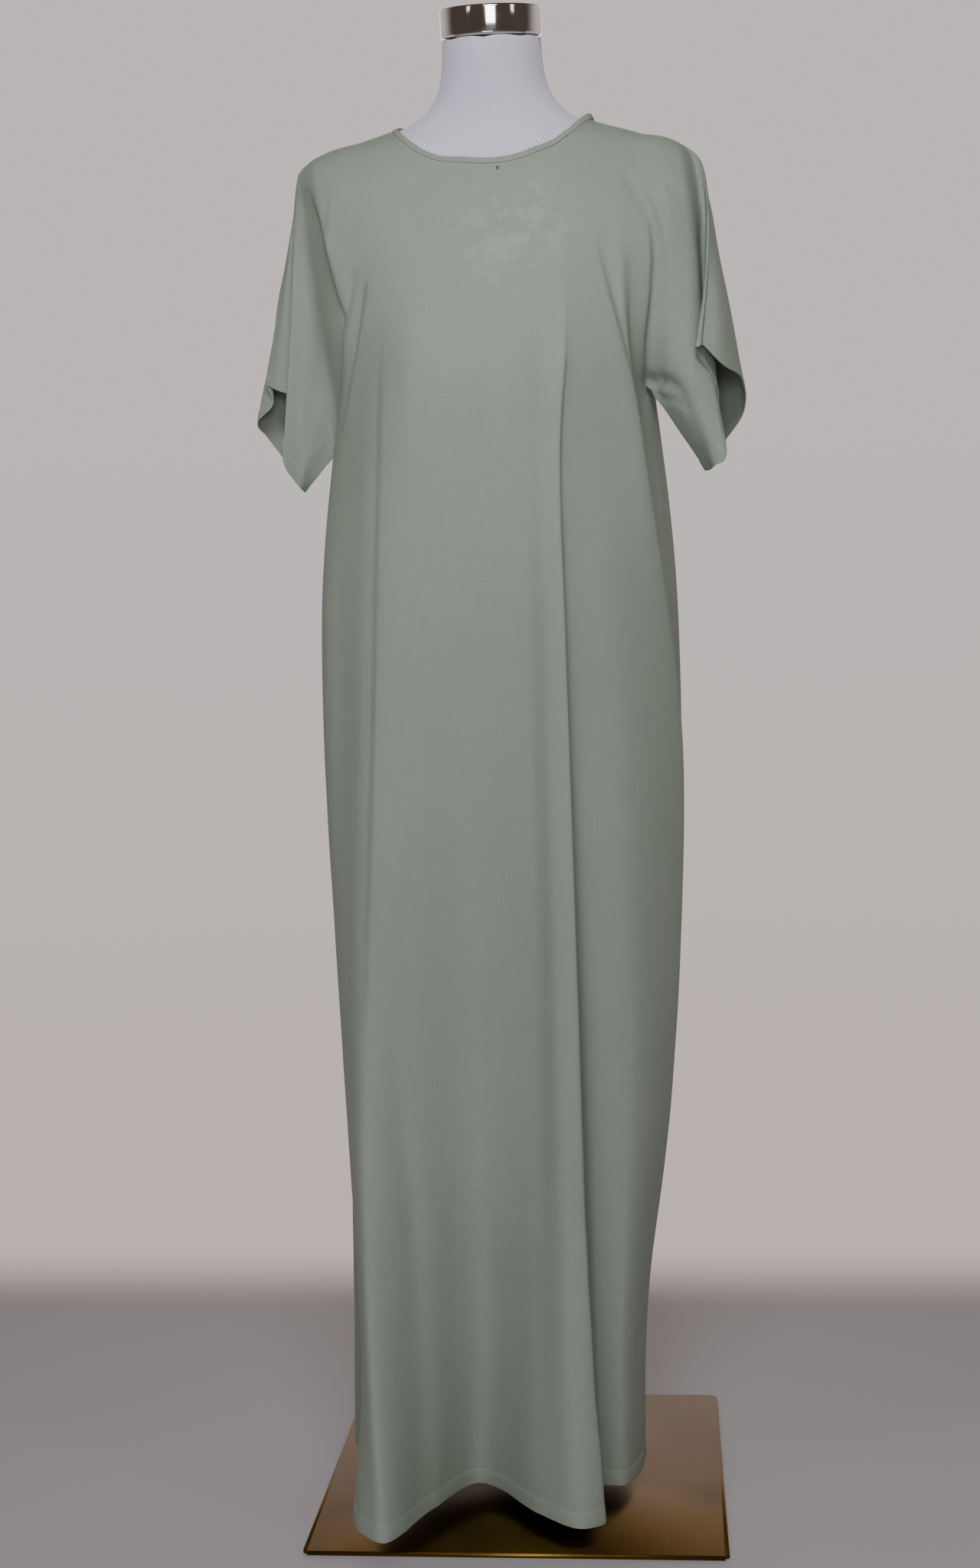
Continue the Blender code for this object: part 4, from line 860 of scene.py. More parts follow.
def sleeve_grid(overarm, folds, armhole_line, underarm_end):
    """Rows of points from the overarm seam to the armhole line, then to the underarm seam."""
    lines = [[Vector(p) * MM for p in overarm]]
    lines += [[Vector(p) * MM for p in points] for _, _, points in folds]
    cells = [count * FINE_CELLS for _, count, _ in folds] + [UNDERARM_CELLS * FINE_CELLS]
    places = []
    for stage in BODY_STAGES[:JOINED + 1]:
        places.append(TOP_SHARE * stage if stage <= 1 else TOP_SHARE + (1 - TOP_SHARE) * (stage - 1))
    places += [1 + (SLEEVE_STATIONS[-1] - 1) * share for share in CUFF_SHARES]
    down = [relax([sleeve_point(line, at) for at in places], SLEEVE_RELAX_PASSES) for line in lines]
    armpit = armhole_line[JOINED]
    end = Vector(underarm_end) * MM
    last = list(armhole_line) + [armpit.lerp(end, share) for share in CUFF_SHARES]
    rows = []
    for row in range(len(places)):
        points = [line[row] for line in down] + [last[row]]
        if row:
            rows.append(across(points, cells))
            continue
        out = [points[0].copy()]
        for a, b, count in zip(points, points[1:], cells):
            for step in range(1, count + 1):
                x = a.x + (b.x - a.x) * step / count
                out.append(Vector((x, 0.0, seam_height(x))))
        rows.append(out)
    return rows


class Sheet:
    """The whole dress's points, welded where its grids meet, and each panel's cells on the cloth."""

    def __init__(self):
        self.places = []
        self.lookup = {}
        self.cells = {}
        self.cloth = {}
        self.grids = {}

    def index(self, place):
        """Index of a point, the same one for grids that meet there."""
        key = tuple(round(c, 6) for c in place)
        if key not in self.lookup:
            self.lookup[key] = len(self.places)
            self.places.append(tuple(place))
        return self.lookup[key]

    def add_grid(self, name, panel, rows, flip, shared=None):
        """Add a grid's cells to a panel, its cloth coordinates going on from a shared edge, if any."""
        ids = np.array([[self.index(p) for p in row] for row in rows])
        points = np.array([[tuple(p) for p in row] for row in rows])
        wide = np.linalg.norm(np.diff(points, axis=1), axis=2)
        long = np.linalg.norm(np.diff(points, axis=0), axis=2)
        u = np.concatenate([np.zeros((len(rows), 1)), np.cumsum(wide, axis=1)], axis=1)
        v = np.concatenate([np.zeros((1, points.shape[1])), np.cumsum(long, axis=0)], axis=0)
        if shared is None:
            u -= u[:, [points.shape[1] // 2]]
            v = np.repeat(v.mean(axis=1)[:, None], points.shape[1], axis=1) * 0.5 + v * 0.5
        else:
            edge_u, edge_v, side = shared
            u = (u[:, -1:] - u) * side
            count = min(len(edge_u), len(rows))
            u[:count] += edge_u[:count, None]
            u[count:] += edge_u[count - 1]
            v = np.concatenate([edge_v[:count], edge_v[count - 1] + v[count:, -1] - v[count - 1, -1]])
            v = np.repeat(v[:, None], points.shape[1], axis=1)
        cells = self.cells.setdefault(panel, [])
        cloth = self.cloth.setdefault(panel, [])
        for r in range(len(rows) - 1):
            for k in range(points.shape[1] - 1):
                corners = [(r, k), (r + 1, k), (r + 1, k + 1), (r, k + 1)]
                if flip:
                    corners.reverse()
                kept = {}
                for corner in corners:
                    kept.setdefault(int(ids[corner]), (u[corner], v[corner]))
                if len(kept) > 2:
                    cells.append(list(kept))
                    cloth.append(list(kept.values()))
        self.grids[name] = ids
        return u, v


class Surface:
    """The sheet's points as an array, and what is worked out from them."""

    def __init__(self, sheet):
        self.points = np.array(sheet.places)
        self.sheet = sheet
        corners = []
        for cells in sheet.cells.values():
            for cell in cells:
                corners.append(cell if len(cell) == 4 else cell + cell[-1:])
        self.corners = np.array(corners)

    def normals(self):
        """Each point's way out, from the cells round it."""
        a, b, c, d = (self.points[self.corners[:, k]] for k in range(4))
        face = np.cross(c - a, d - b)
        total = np.zeros_like(self.points)
        for k in range(4):
            np.add.at(total, self.corners[:, k], face)
        return total / np.maximum(np.linalg.norm(total, axis=1), LEAST_LENGTH)[:, None]

    def members(self, panel):
        """Which points belong to a panel."""
        found = np.zeros(len(self.points), bool)
        found[sorted({i for cell in self.sheet.cells[panel] for i in cell})] = True
        return found


def dress_sheet():
    """Front and back panels, each with its half of both sleeves, as one welded sheet."""
    sheet = Sheet()
    for panel, folds, hem, depth, drop, left_folds, right_folds in (
        ("front", FRONT_FOLDS, FRONT_HEM, -NECK_FRONT_DEPTH, NECK_FRONT_DROP,
         LEFT_SLEEVE_FRONT, RIGHT_SLEEVE_FRONT),
        ("back", BACK_FOLDS, BACK_HEM, NECK_BACK_DEPTH, NECK_BACK_DROP,
         LEFT_SLEEVE_BACK, RIGHT_SLEEVE_BACK),
    ):
        body = body_grid(folds, hem, panel, depth, drop)
        left = sleeve_grid(LEFT_OVERARM, left_folds, [row[0] for row in body[:JOINED + 1]], LEFT_UNDERARM_END)
        right = sleeve_grid(RIGHT_OVERARM, right_folds, [row[-1] for row in body[:JOINED + 1]],
                            RIGHT_UNDERARM_END)
        behind = panel == "back"
        u, v = sheet.add_grid(panel + "_body", panel, body, behind)
        sheet.add_grid(panel + "_left_sleeve", panel, left, behind,
                       (u[:JOINED + 1, 0], v[:JOINED + 1, 0], -1))
        sheet.add_grid(panel + "_right_sleeve", panel, right, not behind,
                       (u[:JOINED + 1, -1], v[:JOINED + 1, -1], 1))
    return sheet


def along_line(places, line):
    """Each place's distance from a line of points, the side it is on, and its share of the way along."""
    points = np.array(line, float) * MM
    spans = np.linalg.norm(np.diff(points, axis=0), axis=1)
    starts = np.concatenate([[0.0], np.cumsum(spans)])
    best = np.full(len(places), np.inf)
    side = np.zeros(len(places))
    share = np.zeros(len(places))
    for a, b, span, start in zip(points, points[1:], spans, starts):
        way = (b - a) / span
        t = np.clip((places - a) @ way, 0, span)
        off = places - (a + t[:, None] * way)
        far = np.linalg.norm(off, axis=1)
        closer = far < best
        best = np.where(closer, far, best)
        side = np.where(closer, off[:, 0], side)
        share = np.where(closer, (start + t) / starts[-1], share)
    return best, side, share


def crease_heights(places, creases):
    """Height of the creases of a table at places given as x and height."""
    total = np.zeros(len(places))
    for _, height, before, after, line in creases:
        far, side, share = along_line(places, line)
        width = np.where(side < 0, before, after) * MM
        fade = np.sin(np.pi * np.clip(share, 0.0, 1.0)) ** CREASE_END
        total += height * MM * np.exp(-(far / width) ** 2) * fade
    return total


def gather_heights(points):
    """Small pleats that fan out from the armpits."""
    total = np.zeros(len(points))
    for x, y, z, reach in ARMPIT_GATHERS:
        away = points - np.array((x, y, z)) * MM
        far = np.linalg.norm(away, axis=1)
        angle = np.arctan2(away[:, 2], np.abs(away[:, 0]) + LEAST_LENGTH)
        total += GATHER_HEIGHT * MM * np.cos(angle * GATHER_PITCH) * np.exp(-(far / (reach * MM)) ** 2)
    return total


def ripple_heights(points):
    """Uneven ripples of hanging cloth, long in height, deeper towards the hem."""
    total = np.zeros(len(points))
    for index, (height, width, length) in enumerate(RIPPLES):
        scaled = points / (np.array((width, width, length)) * MM)
        shift = Vector(RIPPLE_SHIFT) * index + Vector(RIPPLE_START)
        total += height * MM * np.array([noise.noise(Vector(p) + shift) for p in scaled])
    low = np.clip((RIPPLES_GROW_FROM - points[:, 2]) / RIPPLES_GROW_OVER, LEAST_GROWTH, 1.0)
    return total * (FLAT_RIPPLES + (1 - FLAT_RIPPLES) * low)


def pucker_heights(surface):
    """Slight puckers where a hem's stitches draw the cloth in."""
    height, pitch = HEM_PUCKER
    near = np.ones(len(surface.points))
    for ids in surface.sheet.grids.values():
        rows = ids[-2 * HEM_ROWS:]
        edge = surface.points[rows[-1]]
        for row in rows:
            far = np.linalg.norm(surface.points[row] - edge, axis=1)
            near[row] = np.minimum(near[row], far)
    scaled = surface.points / (pitch * MM)
    values = np.array([noise.noise(Vector(p)) if d < 1 else 0.0 for p, d in zip(scaled, near)])
    return height * MM * values * np.exp(-near / (HEM_PUCKER_REACH * MM))


def push_off_form(surface, form_tree, low, high):
    """Move the sheet out, straight off the form, until it clears it."""
    clearance = CLOTH_WALL + FORM_CLEARANCE
    near = np.nonzero((surface.points[:, 2] > low) & (surface.points[:, 2] < high))[0]
    for _ in range(SETTLE_PASSES):
        push = np.zeros_like(surface.points)
        for i in near:
            place = Vector(surface.points[i])
            spot, normal, _, distance = form_tree.find_nearest(place)
            lack = clearance - (place - spot).dot(normal)
            if distance < FORM_REACH and lack > 0:
                push[i] = normal * min(LARGEST_PUSH, lack)
        if abs(push).max() < SETTLED:
            break
        surface.points += push


def neighbours(surface):
    """Every edge's two ends, and how many edges each point has."""
    corners = surface.corners
    ends = np.concatenate([corners[:, pair] for pair in ((0, 1), (1, 2), (2, 3), (3, 0))])
    ends = ends[ends[:, 0] != ends[:, 1]]
    return ends, np.maximum(np.bincount(ends.ravel(), minlength=len(surface.points)), 1)[:, None]


def even_out(surface, weight, passes):
    """Move each point part of the way to the middle of those beside it."""
    ends, count = neighbours(surface)
    for _ in range(passes):
        total = np.zeros_like(surface.points)
        np.add.at(total, ends[:, 0], surface.points[ends[:, 1]])
        np.add.at(total, ends[:, 1], surface.points[ends[:, 0]])
        surface.points += 0.5 * weight[:, None] * (total / count - surface.points)


def smooth(surface, moved, passes):
    """Even out the points that were moved, and those beside them."""
    ends, _ = neighbours(surface)
    near = moved.astype(float)
    for _ in range(MOVED_ROUNDS):
        spread = near.copy()
        np.maximum.at(spread, ends[:, 0], near[ends[:, 1]] * MOVED_SHARE)
        np.maximum.at(spread, ends[:, 1], near[ends[:, 0]] * MOVED_SHARE)
        near = spread
    even_out(surface, near, passes)


def drape_shoulders(surface):
    """Let the cloth lie evenly over the shoulders, between the neckline and the sleeves."""
    points = surface.points
    high = np.clip((points[:, 2] - DRAPED_FROM) / DRAPED_BLEND, 0, 1)
    inward = np.clip((DRAPED_HALF_WIDTH - np.abs(points[:, 0])) / DRAPED_BLEND, 0, 1)
    weight = high * inward
    for name in ("front_body", "back_body"):
        for i in surface.sheet.grids[name][0]:
            from_middle = abs(surface.sheet.places[i][0] - NECK_CENTRE_X)
            beyond = from_middle - NECK_HALF_WIDTH - NECK_POINT_WIDTH
            weight[i] *= SEAM_DRAPE * min(1.0, max(0.0, beyond / DRAPED_BLEND))
    even_out(surface, weight, DRAPE_PASSES)


def seam_points(sheet):
    """Indices of the points on the shoulder, overarm, underarm and side seams."""
    found = set()
    for name, ids in sheet.grids.items():
        if name.endswith("body"):
            found.update(ids[JOINED:, 0].tolist() + ids[JOINED:, -1].tolist())
        else:
            found.update(ids[:, 0].tolist() + ids[JOINED:, -1].tolist() + ids[0].tolist())
    return sorted(found)


def hem_heights(surface):
    """Turned hem, a little thicker than the cloth, with the stitches drawn in above it."""
    total = np.zeros(len(surface.points))
    for ids in surface.sheet.grids.values():
        total[ids[-STITCH_ROW:-1]] = HEM_SWELL
        total[ids[-1]] = HEM_EDGE_SWELL
        total[ids[-1 - STITCH_ROW]] = -STITCH_DITCH
    return total


def shape_cloth(sheet, form_tree):
    """The dress's outer side: off the form, creased, rippled, and with its seams and hems drawn in."""
    surface = Surface(sheet)
    seams = seam_points(sheet)
    before = surface.points.copy()
    push_off_form(surface, form_tree, *FORM_COVERED)
    moved = np.linalg.norm(surface.points - before, axis=1) > SETTLED
    smooth(surface, moved, FIRST_SMOOTHING)
    drape_shoulders(surface)
    push_off_form(surface, form_tree, *FORM_COVERED)
    normals = surface.normals()
    heights = gather_heights(surface.points) + ripple_heights(surface.points)
    for panel, creases, facing in (("front", FRONT_CREASES, -1), ("back", BACK_CREASES, 1)):
        member = surface.members(panel)
        weight = np.clip(2 * facing * normals[member, 1], 0, 1)
        heights[member] += weight * crease_heights(surface.points[member][:, (0, 2)], creases)
    heights *= np.clip((CREASES_STOP - surface.points[:, 2]) / CREASES_FADE, 0.0, 1.0)
    surface.points += normals * heights[:, None]
    push_off_form(surface, form_tree, *FORM_COVERED)
    smooth(surface, moved, LAST_SMOOTHING)
    normals = surface.normals()
    details = pucker_heights(surface) + hem_heights(surface)
    details[seams] -= SEAM_DEPTH
    surface.points += normals * details[:, None]
    return surface, seams


def cloth_walls(surface):
    """How thick the cloth is at each point: doubled in the hems."""
    walls = np.full(len(surface.points), CLOTH_WALL)
    for ids in surface.sheet.grids.values():
        walls[ids[-STITCH_ROW:].ravel()] = HEM_WALL
    return walls


def new_object(name, data):
    """New object of a mesh, a lamp or a camera, in the scene."""
    made = bpy.data.objects.new(name, data)
    bpy.context.scene.collection.objects.link(made)
    return made


def mesh_piece(name, points, faces, material, uvs=None, sharp=None):
    """New smooth object, with the cloth's coordinates and sharp edges if they are given."""
    mesh = bpy.data.meshes.new(name)
    mesh.from_pydata([tuple(p) for p in points], [], faces)
    mesh.update()
    mesh.shade_smooth()
    if uvs is not None:
        layer = mesh.uv_layers.new(name="cloth")
        layer.data.foreach_set("uv", np.array(uvs, dtype=np.float32).ravel())
    if sharp is not None:
        ends = np.empty(2 * len(mesh.edges), dtype=np.int64)
        mesh.edges.foreach_get("vertices", ends)
        keys = ends.reshape(-1, 2)
        marked = [(min(a, b), max(a, b)) in sharp for a, b in keys.tolist()]
        mesh.attributes.new("sharp_edge", "BOOLEAN", "EDGE").data.foreach_set("value", marked)
    mesh.materials.append(material)
    return new_object(name, mesh)


def finish_piece(piece, slot, *nodes):
    """Hang a piece on the one body and hide the CAD nodes it stands for. The slot, its finish's name, is not
    used.
    """
    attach(piece, "root")
    if nodes:
        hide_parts(*nodes)
    return piece


def panel_piece(name, surface, panel, normals, walls, seams, material):
    """A panel as a thin closed shell, a hair apart from the other panel at the seams."""
    cells, cloth = surface.sheet.cells[panel], surface.sheet.cloth[panel]
    used = sorted({i for cell in cells for i in cell})
    order = {old: new for new, old in enumerate(used)}
    faces = [[order[i] for i in cell] for cell in cells]
    outer = surface.points[used]
    towards = np.zeros_like(outer)
    for face in faces:
        centre = outer[face].mean(axis=0)
        towards[face] += centre - outer[face]
    length = np.maximum(np.linalg.norm(towards, axis=1), LEAST_LENGTH)[:, None]
    on_seam = np.isin(used, seams)
    outer = np.where(on_seam[:, None], outer + towards / length * SEAM_HALF_GAP, outer)
    inner = outer - normals[used] * walls[used][:, None]
    count = len(used)
    edges = {}
    for face, places in zip(faces, cloth):
        for k in range(len(face)):
            after = (k + 1) % len(face)
            edges[(face[k], face[after])] = (places[k], places[after])
    border = [edge for edge in edges if edge[::-1] not in edges]
    inside = [[i + count for i in reversed(face)] for face in faces]
    rims = [[b, a, a + count, b + count] for a, b in border]
    uvs = [place for places in cloth for place in places]
    uvs += [place for places in cloth for place in reversed(places)]
    for edge in border:
        start, end = edges[edge]
        uvs += [end, start, start, end]
    sharp = {(min(a, b), max(a, b)) for a, b in border}
    sharp |= {(a + count, b + count) for a, b in sharp}
    return mesh_piece(name, np.concatenate([outer, inner]), faces + inside + rims, material, uvs, sharp)


def neck_frames(surface, normals, form_tree):
    """Round the neckline: point, way up along the binding, way out, in order."""
    front = surface.sheet.grids["front_body"][0]
    back = surface.sheet.grids["back_body"][0]
    points, flat = surface.points, surface.sheet.places
    half_width = NECK_HALF_WIDTH + NECK_POINT_WIDTH

    def inside(ids):
        return [int(i) for i in ids if abs(flat[i][0] - NECK_CENTRE_X) < half_width]

    loop = inside(front) + inside(back)[-2:0:-1]
    frames = []
    for step, i in enumerate(loop):
        place, out = Vector(points[i]), Vector(normals[i])
        along = Vector(points[loop[(step + 1) % len(loop)]]) - Vector(points[loop[step - 1]])
        rise = out.cross(along).normalized()
        crown = place + rise * BINDING_WIDTH
        spot, away, _, _ = form_tree.find_nearest(crown)
        lack = BINDING_HALF + BINDING_CLEARANCE - (crown - spot).dot(away)
        if lack > 0:
            crown = crown + away * lack
        up = (crown - place) / BINDING_WIDTH
        frames.append((place, up, out))
    return frames


def ring_faces(rings, size, closed=False):
    """Faces between rings of so many points each, the last ring joined to the first if closed."""
    faces = []
    for k in range(rings if closed else rings - 1):
        here, there = k * size, (k + 1) % rings * size
        for j in range(size):
            after = (j + 1) % size
            faces.append([here + j, here + after, there + after, there + j])
    return faces


def binding_piece(frames, material):
    """Narrow folded strip, a little full, sewn round the neckline."""
    points, uvs = [], []
    starts = [0.0]
    for k, (place, up, out) in enumerate(frames):
        points += [place + up * (rise * MM) + out * (off * MM) for rise, off in BINDING_SECTION]
        starts.append(starts[-1] + (frames[(k + 1) % len(frames)][0] - place).length)
    for start, end in zip(starts, starts[1:]):
        for j in range(len(BINDING_SECTION)):
            low, high = j * BINDING_CELL, (j + 1) * BINDING_CELL
            uvs += [(start, low), (start, high), (end, high), (end, low)]
    faces = ring_faces(len(frames), len(BINDING_SECTION), closed=True)
    piece = mesh_piece("neck_binding_strip", points, faces, material, uvs)
    turn_outward(piece)
    return piece


def turn_outward(piece):
    """Make a closed piece's faces all look outward."""
    mesh = bmesh.new()
    mesh.from_mesh(piece.data)
    bmesh.ops.recalc_face_normals(mesh, faces=mesh.faces)
    mesh.to_mesh(piece.data)
    mesh.free()


def stitch_tree():
    """Geometry nodes that set one small spindle of thread at each pitch along a line of edges."""
    tree = bpy.data.node_groups.new("stitches_along_a_line", "GeometryNodeTree")
    face = tree.interface
    face.new_socket("Geometry", in_out="INPUT", socket_type="NodeSocketGeometry")
    sockets = {}
    for name, kind in (("Pitch", "Float"), ("Length", "Float"), ("Width", "Float"), ("Seed", "Int"),
                       ("Thread", "Material")):
        sockets[name] = face.new_socket(name, in_out="INPUT", socket_type="NodeSocket" + kind).identifier
    face.new_socket("Geometry", in_out="OUTPUT", socket_type="NodeSocketGeometry")
    given = add(tree, "NodeGroupInput").outputs
    line = add(tree, "GeometryNodeMeshToCurve", {"Mesh": given["Geometry"]})
    spaced = add(tree, "GeometryNodeResampleCurve", {"Curve": line, "Length": given["Pitch"]}, mode="LENGTH")
    along = add(tree, "GeometryNodeInputTangent")
    turned = add(tree, "FunctionNodeAlignRotationToVector", {"Vector": along}, axis="Z")
    half_width = add(tree, "ShaderNodeMath", {0: given["Width"], 1: 0.5}, operation="MULTIPLY")
    half_length = add(tree, "ShaderNodeMath", {0: given["Length"], 1: 0.5}, operation="MULTIPLY")
    spindle = add(tree, "GeometryNodeMeshUVSphere", {"Segments": 6, "Rings": 5, "Radius": 1.0})
    shape = add(tree, "ShaderNodeCombineXYZ", {"X": half_width, "Y": half_width, "Z": half_length})
    thread = add(tree, "GeometryNodeTransform", {"Geometry": spindle, "Scale": shape})
    uneven = add(tree, "FunctionNodeRandomValue", {0: LEAST_STITCH, 1: MOST_STITCH, "Seed": given["Seed"]},
                 data_type="FLOAT_VECTOR")
    placed = add(tree, "GeometryNodeInstanceOnPoints", {"Points": spaced, "Instance": thread,
                                                        "Rotation": turned, "Scale": uneven})
    real = add(tree, "GeometryNodeRealizeInstances", {"Geometry": placed})
    smooth_faces = add(tree, "GeometryNodeSetShadeSmooth", {"Geometry": real})
    dyed = add(tree, "GeometryNodeSetMaterial", {"Geometry": smooth_faces, "Material": given["Thread"]})
    add(tree, "NodeGroupOutput", {0: dyed})
    return tree, sockets


def stitch_piece(name, lines, maker, material, seed):
    """Row of stitches along lines of points, made by the node tree and kept as a plain mesh."""
    tree, sockets = maker
    points, edges = [], []
    for line in lines:
        start = len(points)
        points += [tuple(p) for p in line]
        edges += [(start + k, start + k + 1) for k in range(len(line) - 1)]
    mesh = bpy.data.meshes.new(name)
    mesh.from_pydata(points, edges, [])
    piece = new_object(name, mesh)
    row = piece.modifiers.new("stitches", "NODES")
    row.node_group = tree
    values = {"Pitch": STITCH_LENGTH + STITCH_GAP, "Length": STITCH_LENGTH, "Width": THREAD_WIDTH,
              "Seed": seed, "Thread": material}
    for label, value in values.items():
        row[sockets[label]] = value
    drawn = piece.evaluated_get(bpy.context.evaluated_depsgraph_get())
    made = bpy.data.meshes.new_from_object(drawn)
    piece.modifiers.remove(row)
    piece.data = made
    if not made.materials:
        made.materials.append(material)
    return piece


def thread_piece(name, line, radius, material):
    """Short loose thread: a thin closed tube along a smooth line of points."""
    knots = list(range(len(line)))
    places = [Vector(p) * MM for p in line]
    steps = THREAD_STEPS * (len(line) - 1)
    path = [spline(knots, places, k / THREAD_STEPS) for k in range(steps + 1)]
    points = []
    for k, place in enumerate(path):
        way = (path[min(k + 1, steps)] - path[max(k - 1, 0)]).normalized()
        across_way = way.cross(SIDEWAYS).normalized()
        other = way.cross(across_way)
        for j in range(THREAD_SIDES):
            turn = 2 * math.pi * j / THREAD_SIDES
            points.append(place + (across_way * math.cos(turn) + other * math.sin(turn)) * radius)
    end = list(range(THREAD_SIDES))
    ends = [end[::-1], [steps * THREAD_SIDES + j for j in end]]
    piece = mesh_piece(name, points, ring_faces(len(path), THREAD_SIDES) + ends, material)
    turn_outward(piece)
    return piece


def hem_line(surface, normals, name):
    """Line just on the cloth along a hem's stitches."""
    ids = surface.sheet.grids[name][-1 - STITCH_ROW]
    return surface.points[ids] + normals[ids] * STITCH_LIFT


def merged_copy(node):
    """Copy of a CAD node's mesh with its points joined."""
    mesh = bmesh.new()
    mesh.from_mesh(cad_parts[node].data)
    bmesh.ops.remove_doubles(mesh, verts=mesh.verts, dist=JOINED_WITHIN)
    for layer in list(mesh.loops.layers.uv.values()):
        mesh.loops.layers.uv.remove(layer)
    return mesh


def object_from(mesh, name, material):
    """New smooth object of one finish from a mesh that is being edited."""
    data = bpy.data.meshes.new(name)
    mesh.to_mesh(data)
    mesh.free()
    data.materials.clear()
    data.materials.append(material)
    data.shade_smooth()
    return new_object(name, data)


def jersey_form(material):
    """The form's torso under its jersey, rounded from the CAD solid."""
    mesh = merged_copy("form_torso")
    bmesh.ops.join_triangles(mesh, faces=mesh.faces, angle_face_threshold=JOINED_CORNER,
                             angle_shape_threshold=SHARP_CORNER)
    piece = object_from(mesh, "jersey_form", material)
    rounded = piece.modifiers.new("rounded", "SUBSURF")
    rounded.levels = 1
    rounded.render_levels = 1
    return piece


def neck_cap_piece(material):
    """Turned chromed cap with rounded edges, tilted with the neck."""
    profile = []
    for centre, start in ((CAP_EDGE, -90), (CAP_HEIGHT - CAP_EDGE, 0)):
        for step in range(CAP_EDGE_STEPS + 1):
            turn = math.radians(start + 90 * step / CAP_EDGE_STEPS)
            out = CAP_RADIUS - CAP_EDGE + CAP_EDGE * math.cos(turn)
            profile.append((out, centre + CAP_EDGE * math.sin(turn)))
    points = []
    for radius, height in profile:
        for k in range(CAP_SEGMENTS):
            turn = 2 * math.pi * k / CAP_SEGMENTS
            points.append(Vector((radius * math.cos(turn), radius * math.sin(turn), height)))
    faces = ring_faces(len(profile), CAP_SEGMENTS)
    foot, last = len(points), len(points) - CAP_SEGMENTS
    points += [Vector((0, 0, 0)), Vector((0, 0, CAP_HEIGHT))]
    for k in range(CAP_SEGMENTS):
        after = (k + 1) % CAP_SEGMENTS
        faces += [[foot, after, k], [last + k, last + after, foot + 1]]
    tilt = Matrix.Translation(CAP_FOOT) @ Matrix.Rotation(CAP_TILT, 4, "X")
    return mesh_piece("chromed_neck_cap", [tilt @ point for point in points], faces, material)


def base_piece(material):
    """Square metal base with its edges eased."""
    mesh = merged_copy("base_plate")
    bmesh.ops.dissolve_limit(mesh, angle_limit=FLAT_CORNER, verts=mesh.verts, edges=mesh.edges)
    sharp = [e for e in mesh.edges if e.is_manifold and e.calc_face_angle() > SHARP_CORNER]
    bmesh.ops.bevel(mesh, geom=sharp, offset=PLATE_EDGE, segments=PLATE_EDGE_STEPS, affect="EDGES")
    return object_from(mesh, "brass_base", material)


def area_light(name, place, target, size, watts, spread, colour):
    """Soft box at a place, turned to its aim."""
    data = bpy.data.lights.new(name, "AREA")
    data.shape = "RECTANGLE"
    data.size, data.size_y = size
    data.energy = watts
    data.spread = math.radians(spread)
    data.color = linear(colour)[:3]
    lamp = new_object(name, data)
    lamp.location = place
    lamp.rotation_euler = (Vector(target) - Vector(place)).to_track_quat("-Z", "Y").to_euler()


def studio():
    """Pale floor, pale world that is darker and warmer behind the camera, and soft lights."""
    material, tree, shader = principled("pale_floor_paint", Roughness=0.6)
    place = add(tree, "ShaderNodeTexCoord").outputs["Object"]
    cloud = add(tree, "ShaderNodeTexNoise", {"Vector": place, "Scale": 3.0})
    colour = add(tree, "ShaderNodeMix", {"Factor": cloud, "A": linear("#b0abad"),
                                         "B": linear("#b6b1b3")}, data_type="RGBA")
    fill(tree, shader, {"Base Color": colour.outputs["Result"]})
    # Some way behind the object the paper sweeps up into the backdrop, which the world stands for
    depth = add(tree, "ShaderNodeSeparateXYZ", {"Vector": place})
    fade = add(tree, "ShaderNodeMapRange", {"Value": depth.outputs["Y"], "From Min": FLOOR_FADES[0],
                                            "From Max": FLOOR_FADES[1]}, interpolation_type="SMOOTHSTEP")
    clear = add(tree, "ShaderNodeBsdfTransparent")
    blend = add(tree, "ShaderNodeMixShader", {0: fade, 1: shader, 2: clear})
    fill(tree, tree.nodes["Material Output"], {"Surface": blend})
    corners = [(x * FLOOR_HALF, y * FLOOR_HALF, 0) for x, y in ((-1, -1), (1, -1), (1, 1), (-1, 1))]
    floor = mesh_piece("studio_floor", corners, [[0, 1, 2, 3]], material)
    world = bpy.data.worlds.new("studio_world")
    bpy.context.scene.world = world
    world.use_nodes = True
    tree = world.node_tree
    back = tree.nodes["Background"]
    way = add(tree, "ShaderNodeTexCoord")
    split = add(tree, "ShaderNodeSeparateXYZ", {"Vector": way})
    ahead = add(tree, "ShaderNodeMapRange", {"Value": split.outputs["Y"], "From Min": 0.0, "From Max": 0.7},
                interpolation_type="SMOOTHSTEP")
    level = add(tree, "ShaderNodeMapRange", {"Value": split.outputs["Z"], "From Min": 0.35, "From Max": 0.85,
                                             "To Min": 1.0, "To Max": 0.0}, interpolation_type="SMOOTHSTEP")
    behind = add(tree, "ShaderNodeMath", {0: ahead, 1: level}, operation="MULTIPLY")
    below = add(tree, "ShaderNodeMapRange", {"Value": split.outputs["Z"], "From Min": -0.2, "From Max": -0.3},
                interpolation_type="SMOOTHSTEP")
    share = add(tree, "ShaderNodeMath", {0: behind, 1: below}, operation="MAXIMUM")
    height = add(tree, "ShaderNodeMapRange", {"Value": split.outputs["Z"], "From Min": -0.35,
                                              "From Max": 0.1})
    wall = add(tree, "ShaderNodeMix", {"Factor": height, "A": linear("#c5b5aa"),
                                       "B": linear("#cbc1c1")}, data_type="RGBA")
    colour = add(tree, "ShaderNodeMix", {"Factor": share, "A": linear("#4c433d"),
                                         "B": wall.outputs["Result"]}, data_type="RGBA")
    fill(tree, back, {"Color": colour.outputs["Result"], "Strength": WORLD_STRENGTH})
    for row in LAMPS:
        area_light(*row)


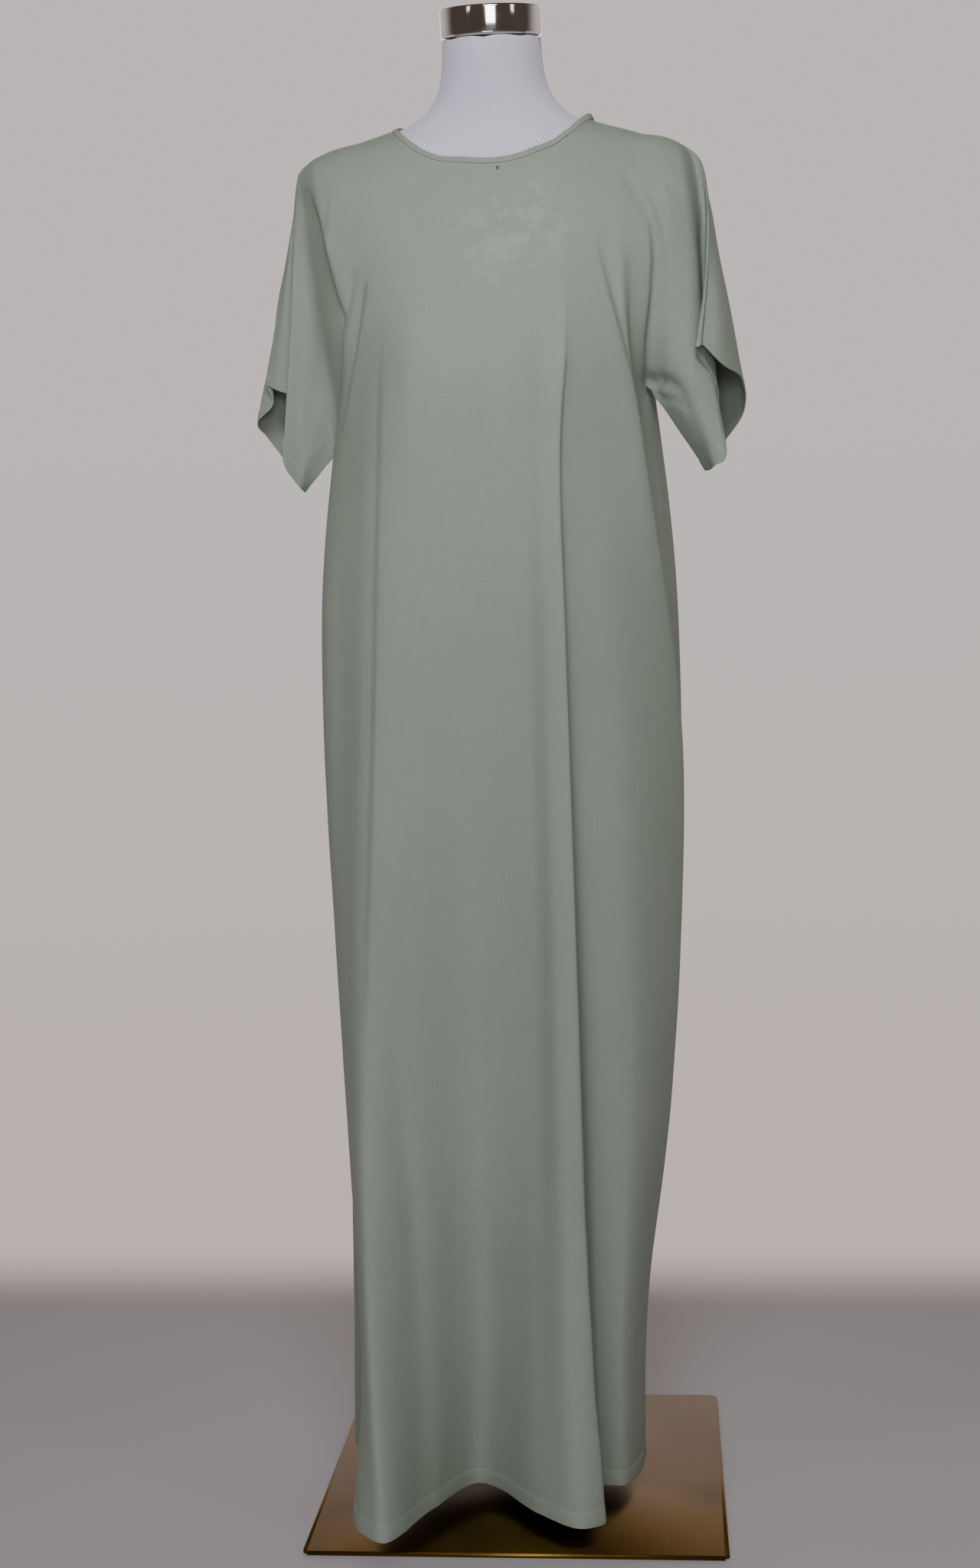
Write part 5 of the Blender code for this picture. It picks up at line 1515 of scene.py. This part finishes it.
def photo_camera():
    """Camera where the photograph was taken from."""
    data = bpy.data.cameras.new("photo_camera")
    data.sensor_fit = "AUTO"
    data.sensor_width = SENSOR_MM
    data.lens = FOCAL_PX * SENSOR_MM / FRAME_TALL_PX
    ahead = Vector((-math.sin(CAMERA_AZIMUTH) * math.cos(CAMERA_DOWN),
                    math.cos(CAMERA_AZIMUTH) * math.cos(CAMERA_DOWN), -math.sin(CAMERA_DOWN)))
    level = Vector((math.cos(CAMERA_AZIMUTH), math.sin(CAMERA_AZIMUTH), 0.0))
    upright = level.cross(ahead)
    right = level * math.cos(CAMERA_ROLL) + upright * math.sin(CAMERA_ROLL)
    up = upright * math.cos(CAMERA_ROLL) - level * math.sin(CAMERA_ROLL)
    camera = new_object("photo_camera", data)
    turn = Matrix((right, up, -ahead)).transposed().to_4x4()
    camera.matrix_world = Matrix.Translation(CAMERA_PLACE) @ turn
    bpy.context.scene.camera = camera


photo_camera()
studio()
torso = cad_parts["form_torso"].data
form_tree = BVHTree.FromPolygons([v.co for v in torso.vertices], [p.vertices for p in torso.polygons])
surface, seams = shape_cloth(dress_sheet(), form_tree)
normals = surface.normals()
walls = cloth_walls(surface)

crepe = sage_crepe()
thread = spun_thread("spun_polyester_thread", "#98a295", "#adb6a9", 900.0, Roughness=0.5, Sheen_Weight=0.2)
chrome = polished_chrome()
front = panel_piece("front_cloth", surface, "front", normals, walls, seams, crepe)
back = panel_piece("back_cloth", surface, "back", normals, walls, seams, crepe)
finish_piece(front, "front_panel", "front_panel")
finish_piece(back, "back_panel", "back_panel")
frames = neck_frames(surface, normals, form_tree)
binding = finish_piece(binding_piece(frames, crepe), "neck_binding", "neck_binding")

maker = stitch_tree()
for panel in ("front", "back"):
    line = hem_line(surface, normals, panel + "_body")
    row = stitch_piece(panel + "_hem_stitches", [line], maker, thread, HEM_SEED)
    finish_piece(row, panel + "_panel")
for side in ("left", "right"):
    lines = [hem_line(surface, normals, f"{panel}_{side}_sleeve") for panel in ("front", "back")]
    finish_piece(stitch_piece(side + "_cuff_stitches", lines, maker, thread, CUFF_SEED), "front_panel")
ring = [place - up * NECK_STITCH_DROP + out * NECK_STITCH_LIFT for place, up, out in frames]
neck_row = stitch_piece("neck_stitches", [ring + ring[:1]], maker, thread, NECK_SEED)
finish_piece(neck_row, "neck_binding")
for number, line in enumerate(LOOSE_THREADS):
    finish_piece(thread_piece(f"loose_thread_{number}", line, THREAD_RADIUS, thread), "front_panel")
tack = spun_thread("dark_tacking_thread", "#1f2421", "#39413b", 1200.0, Roughness=0.6)
for number, line in enumerate(NECK_TACKS):
    finish_piece(thread_piece(f"neck_tack_{number}", line, TACK_RADIUS, tack), "neck_binding")

form = finish_piece(jersey_form(ribbed_jersey()), "form_torso", "form_torso")
finish_piece(neck_cap_piece(chrome), "neck_cap", "neck_cap")
finish_piece(base_piece(brushed_brass()), "base_plate", "base_plate")
for node in ("pole", "pole_socket"):
    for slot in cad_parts[node].material_slots:
        slot.link = "OBJECT"
        slot.material = chrome
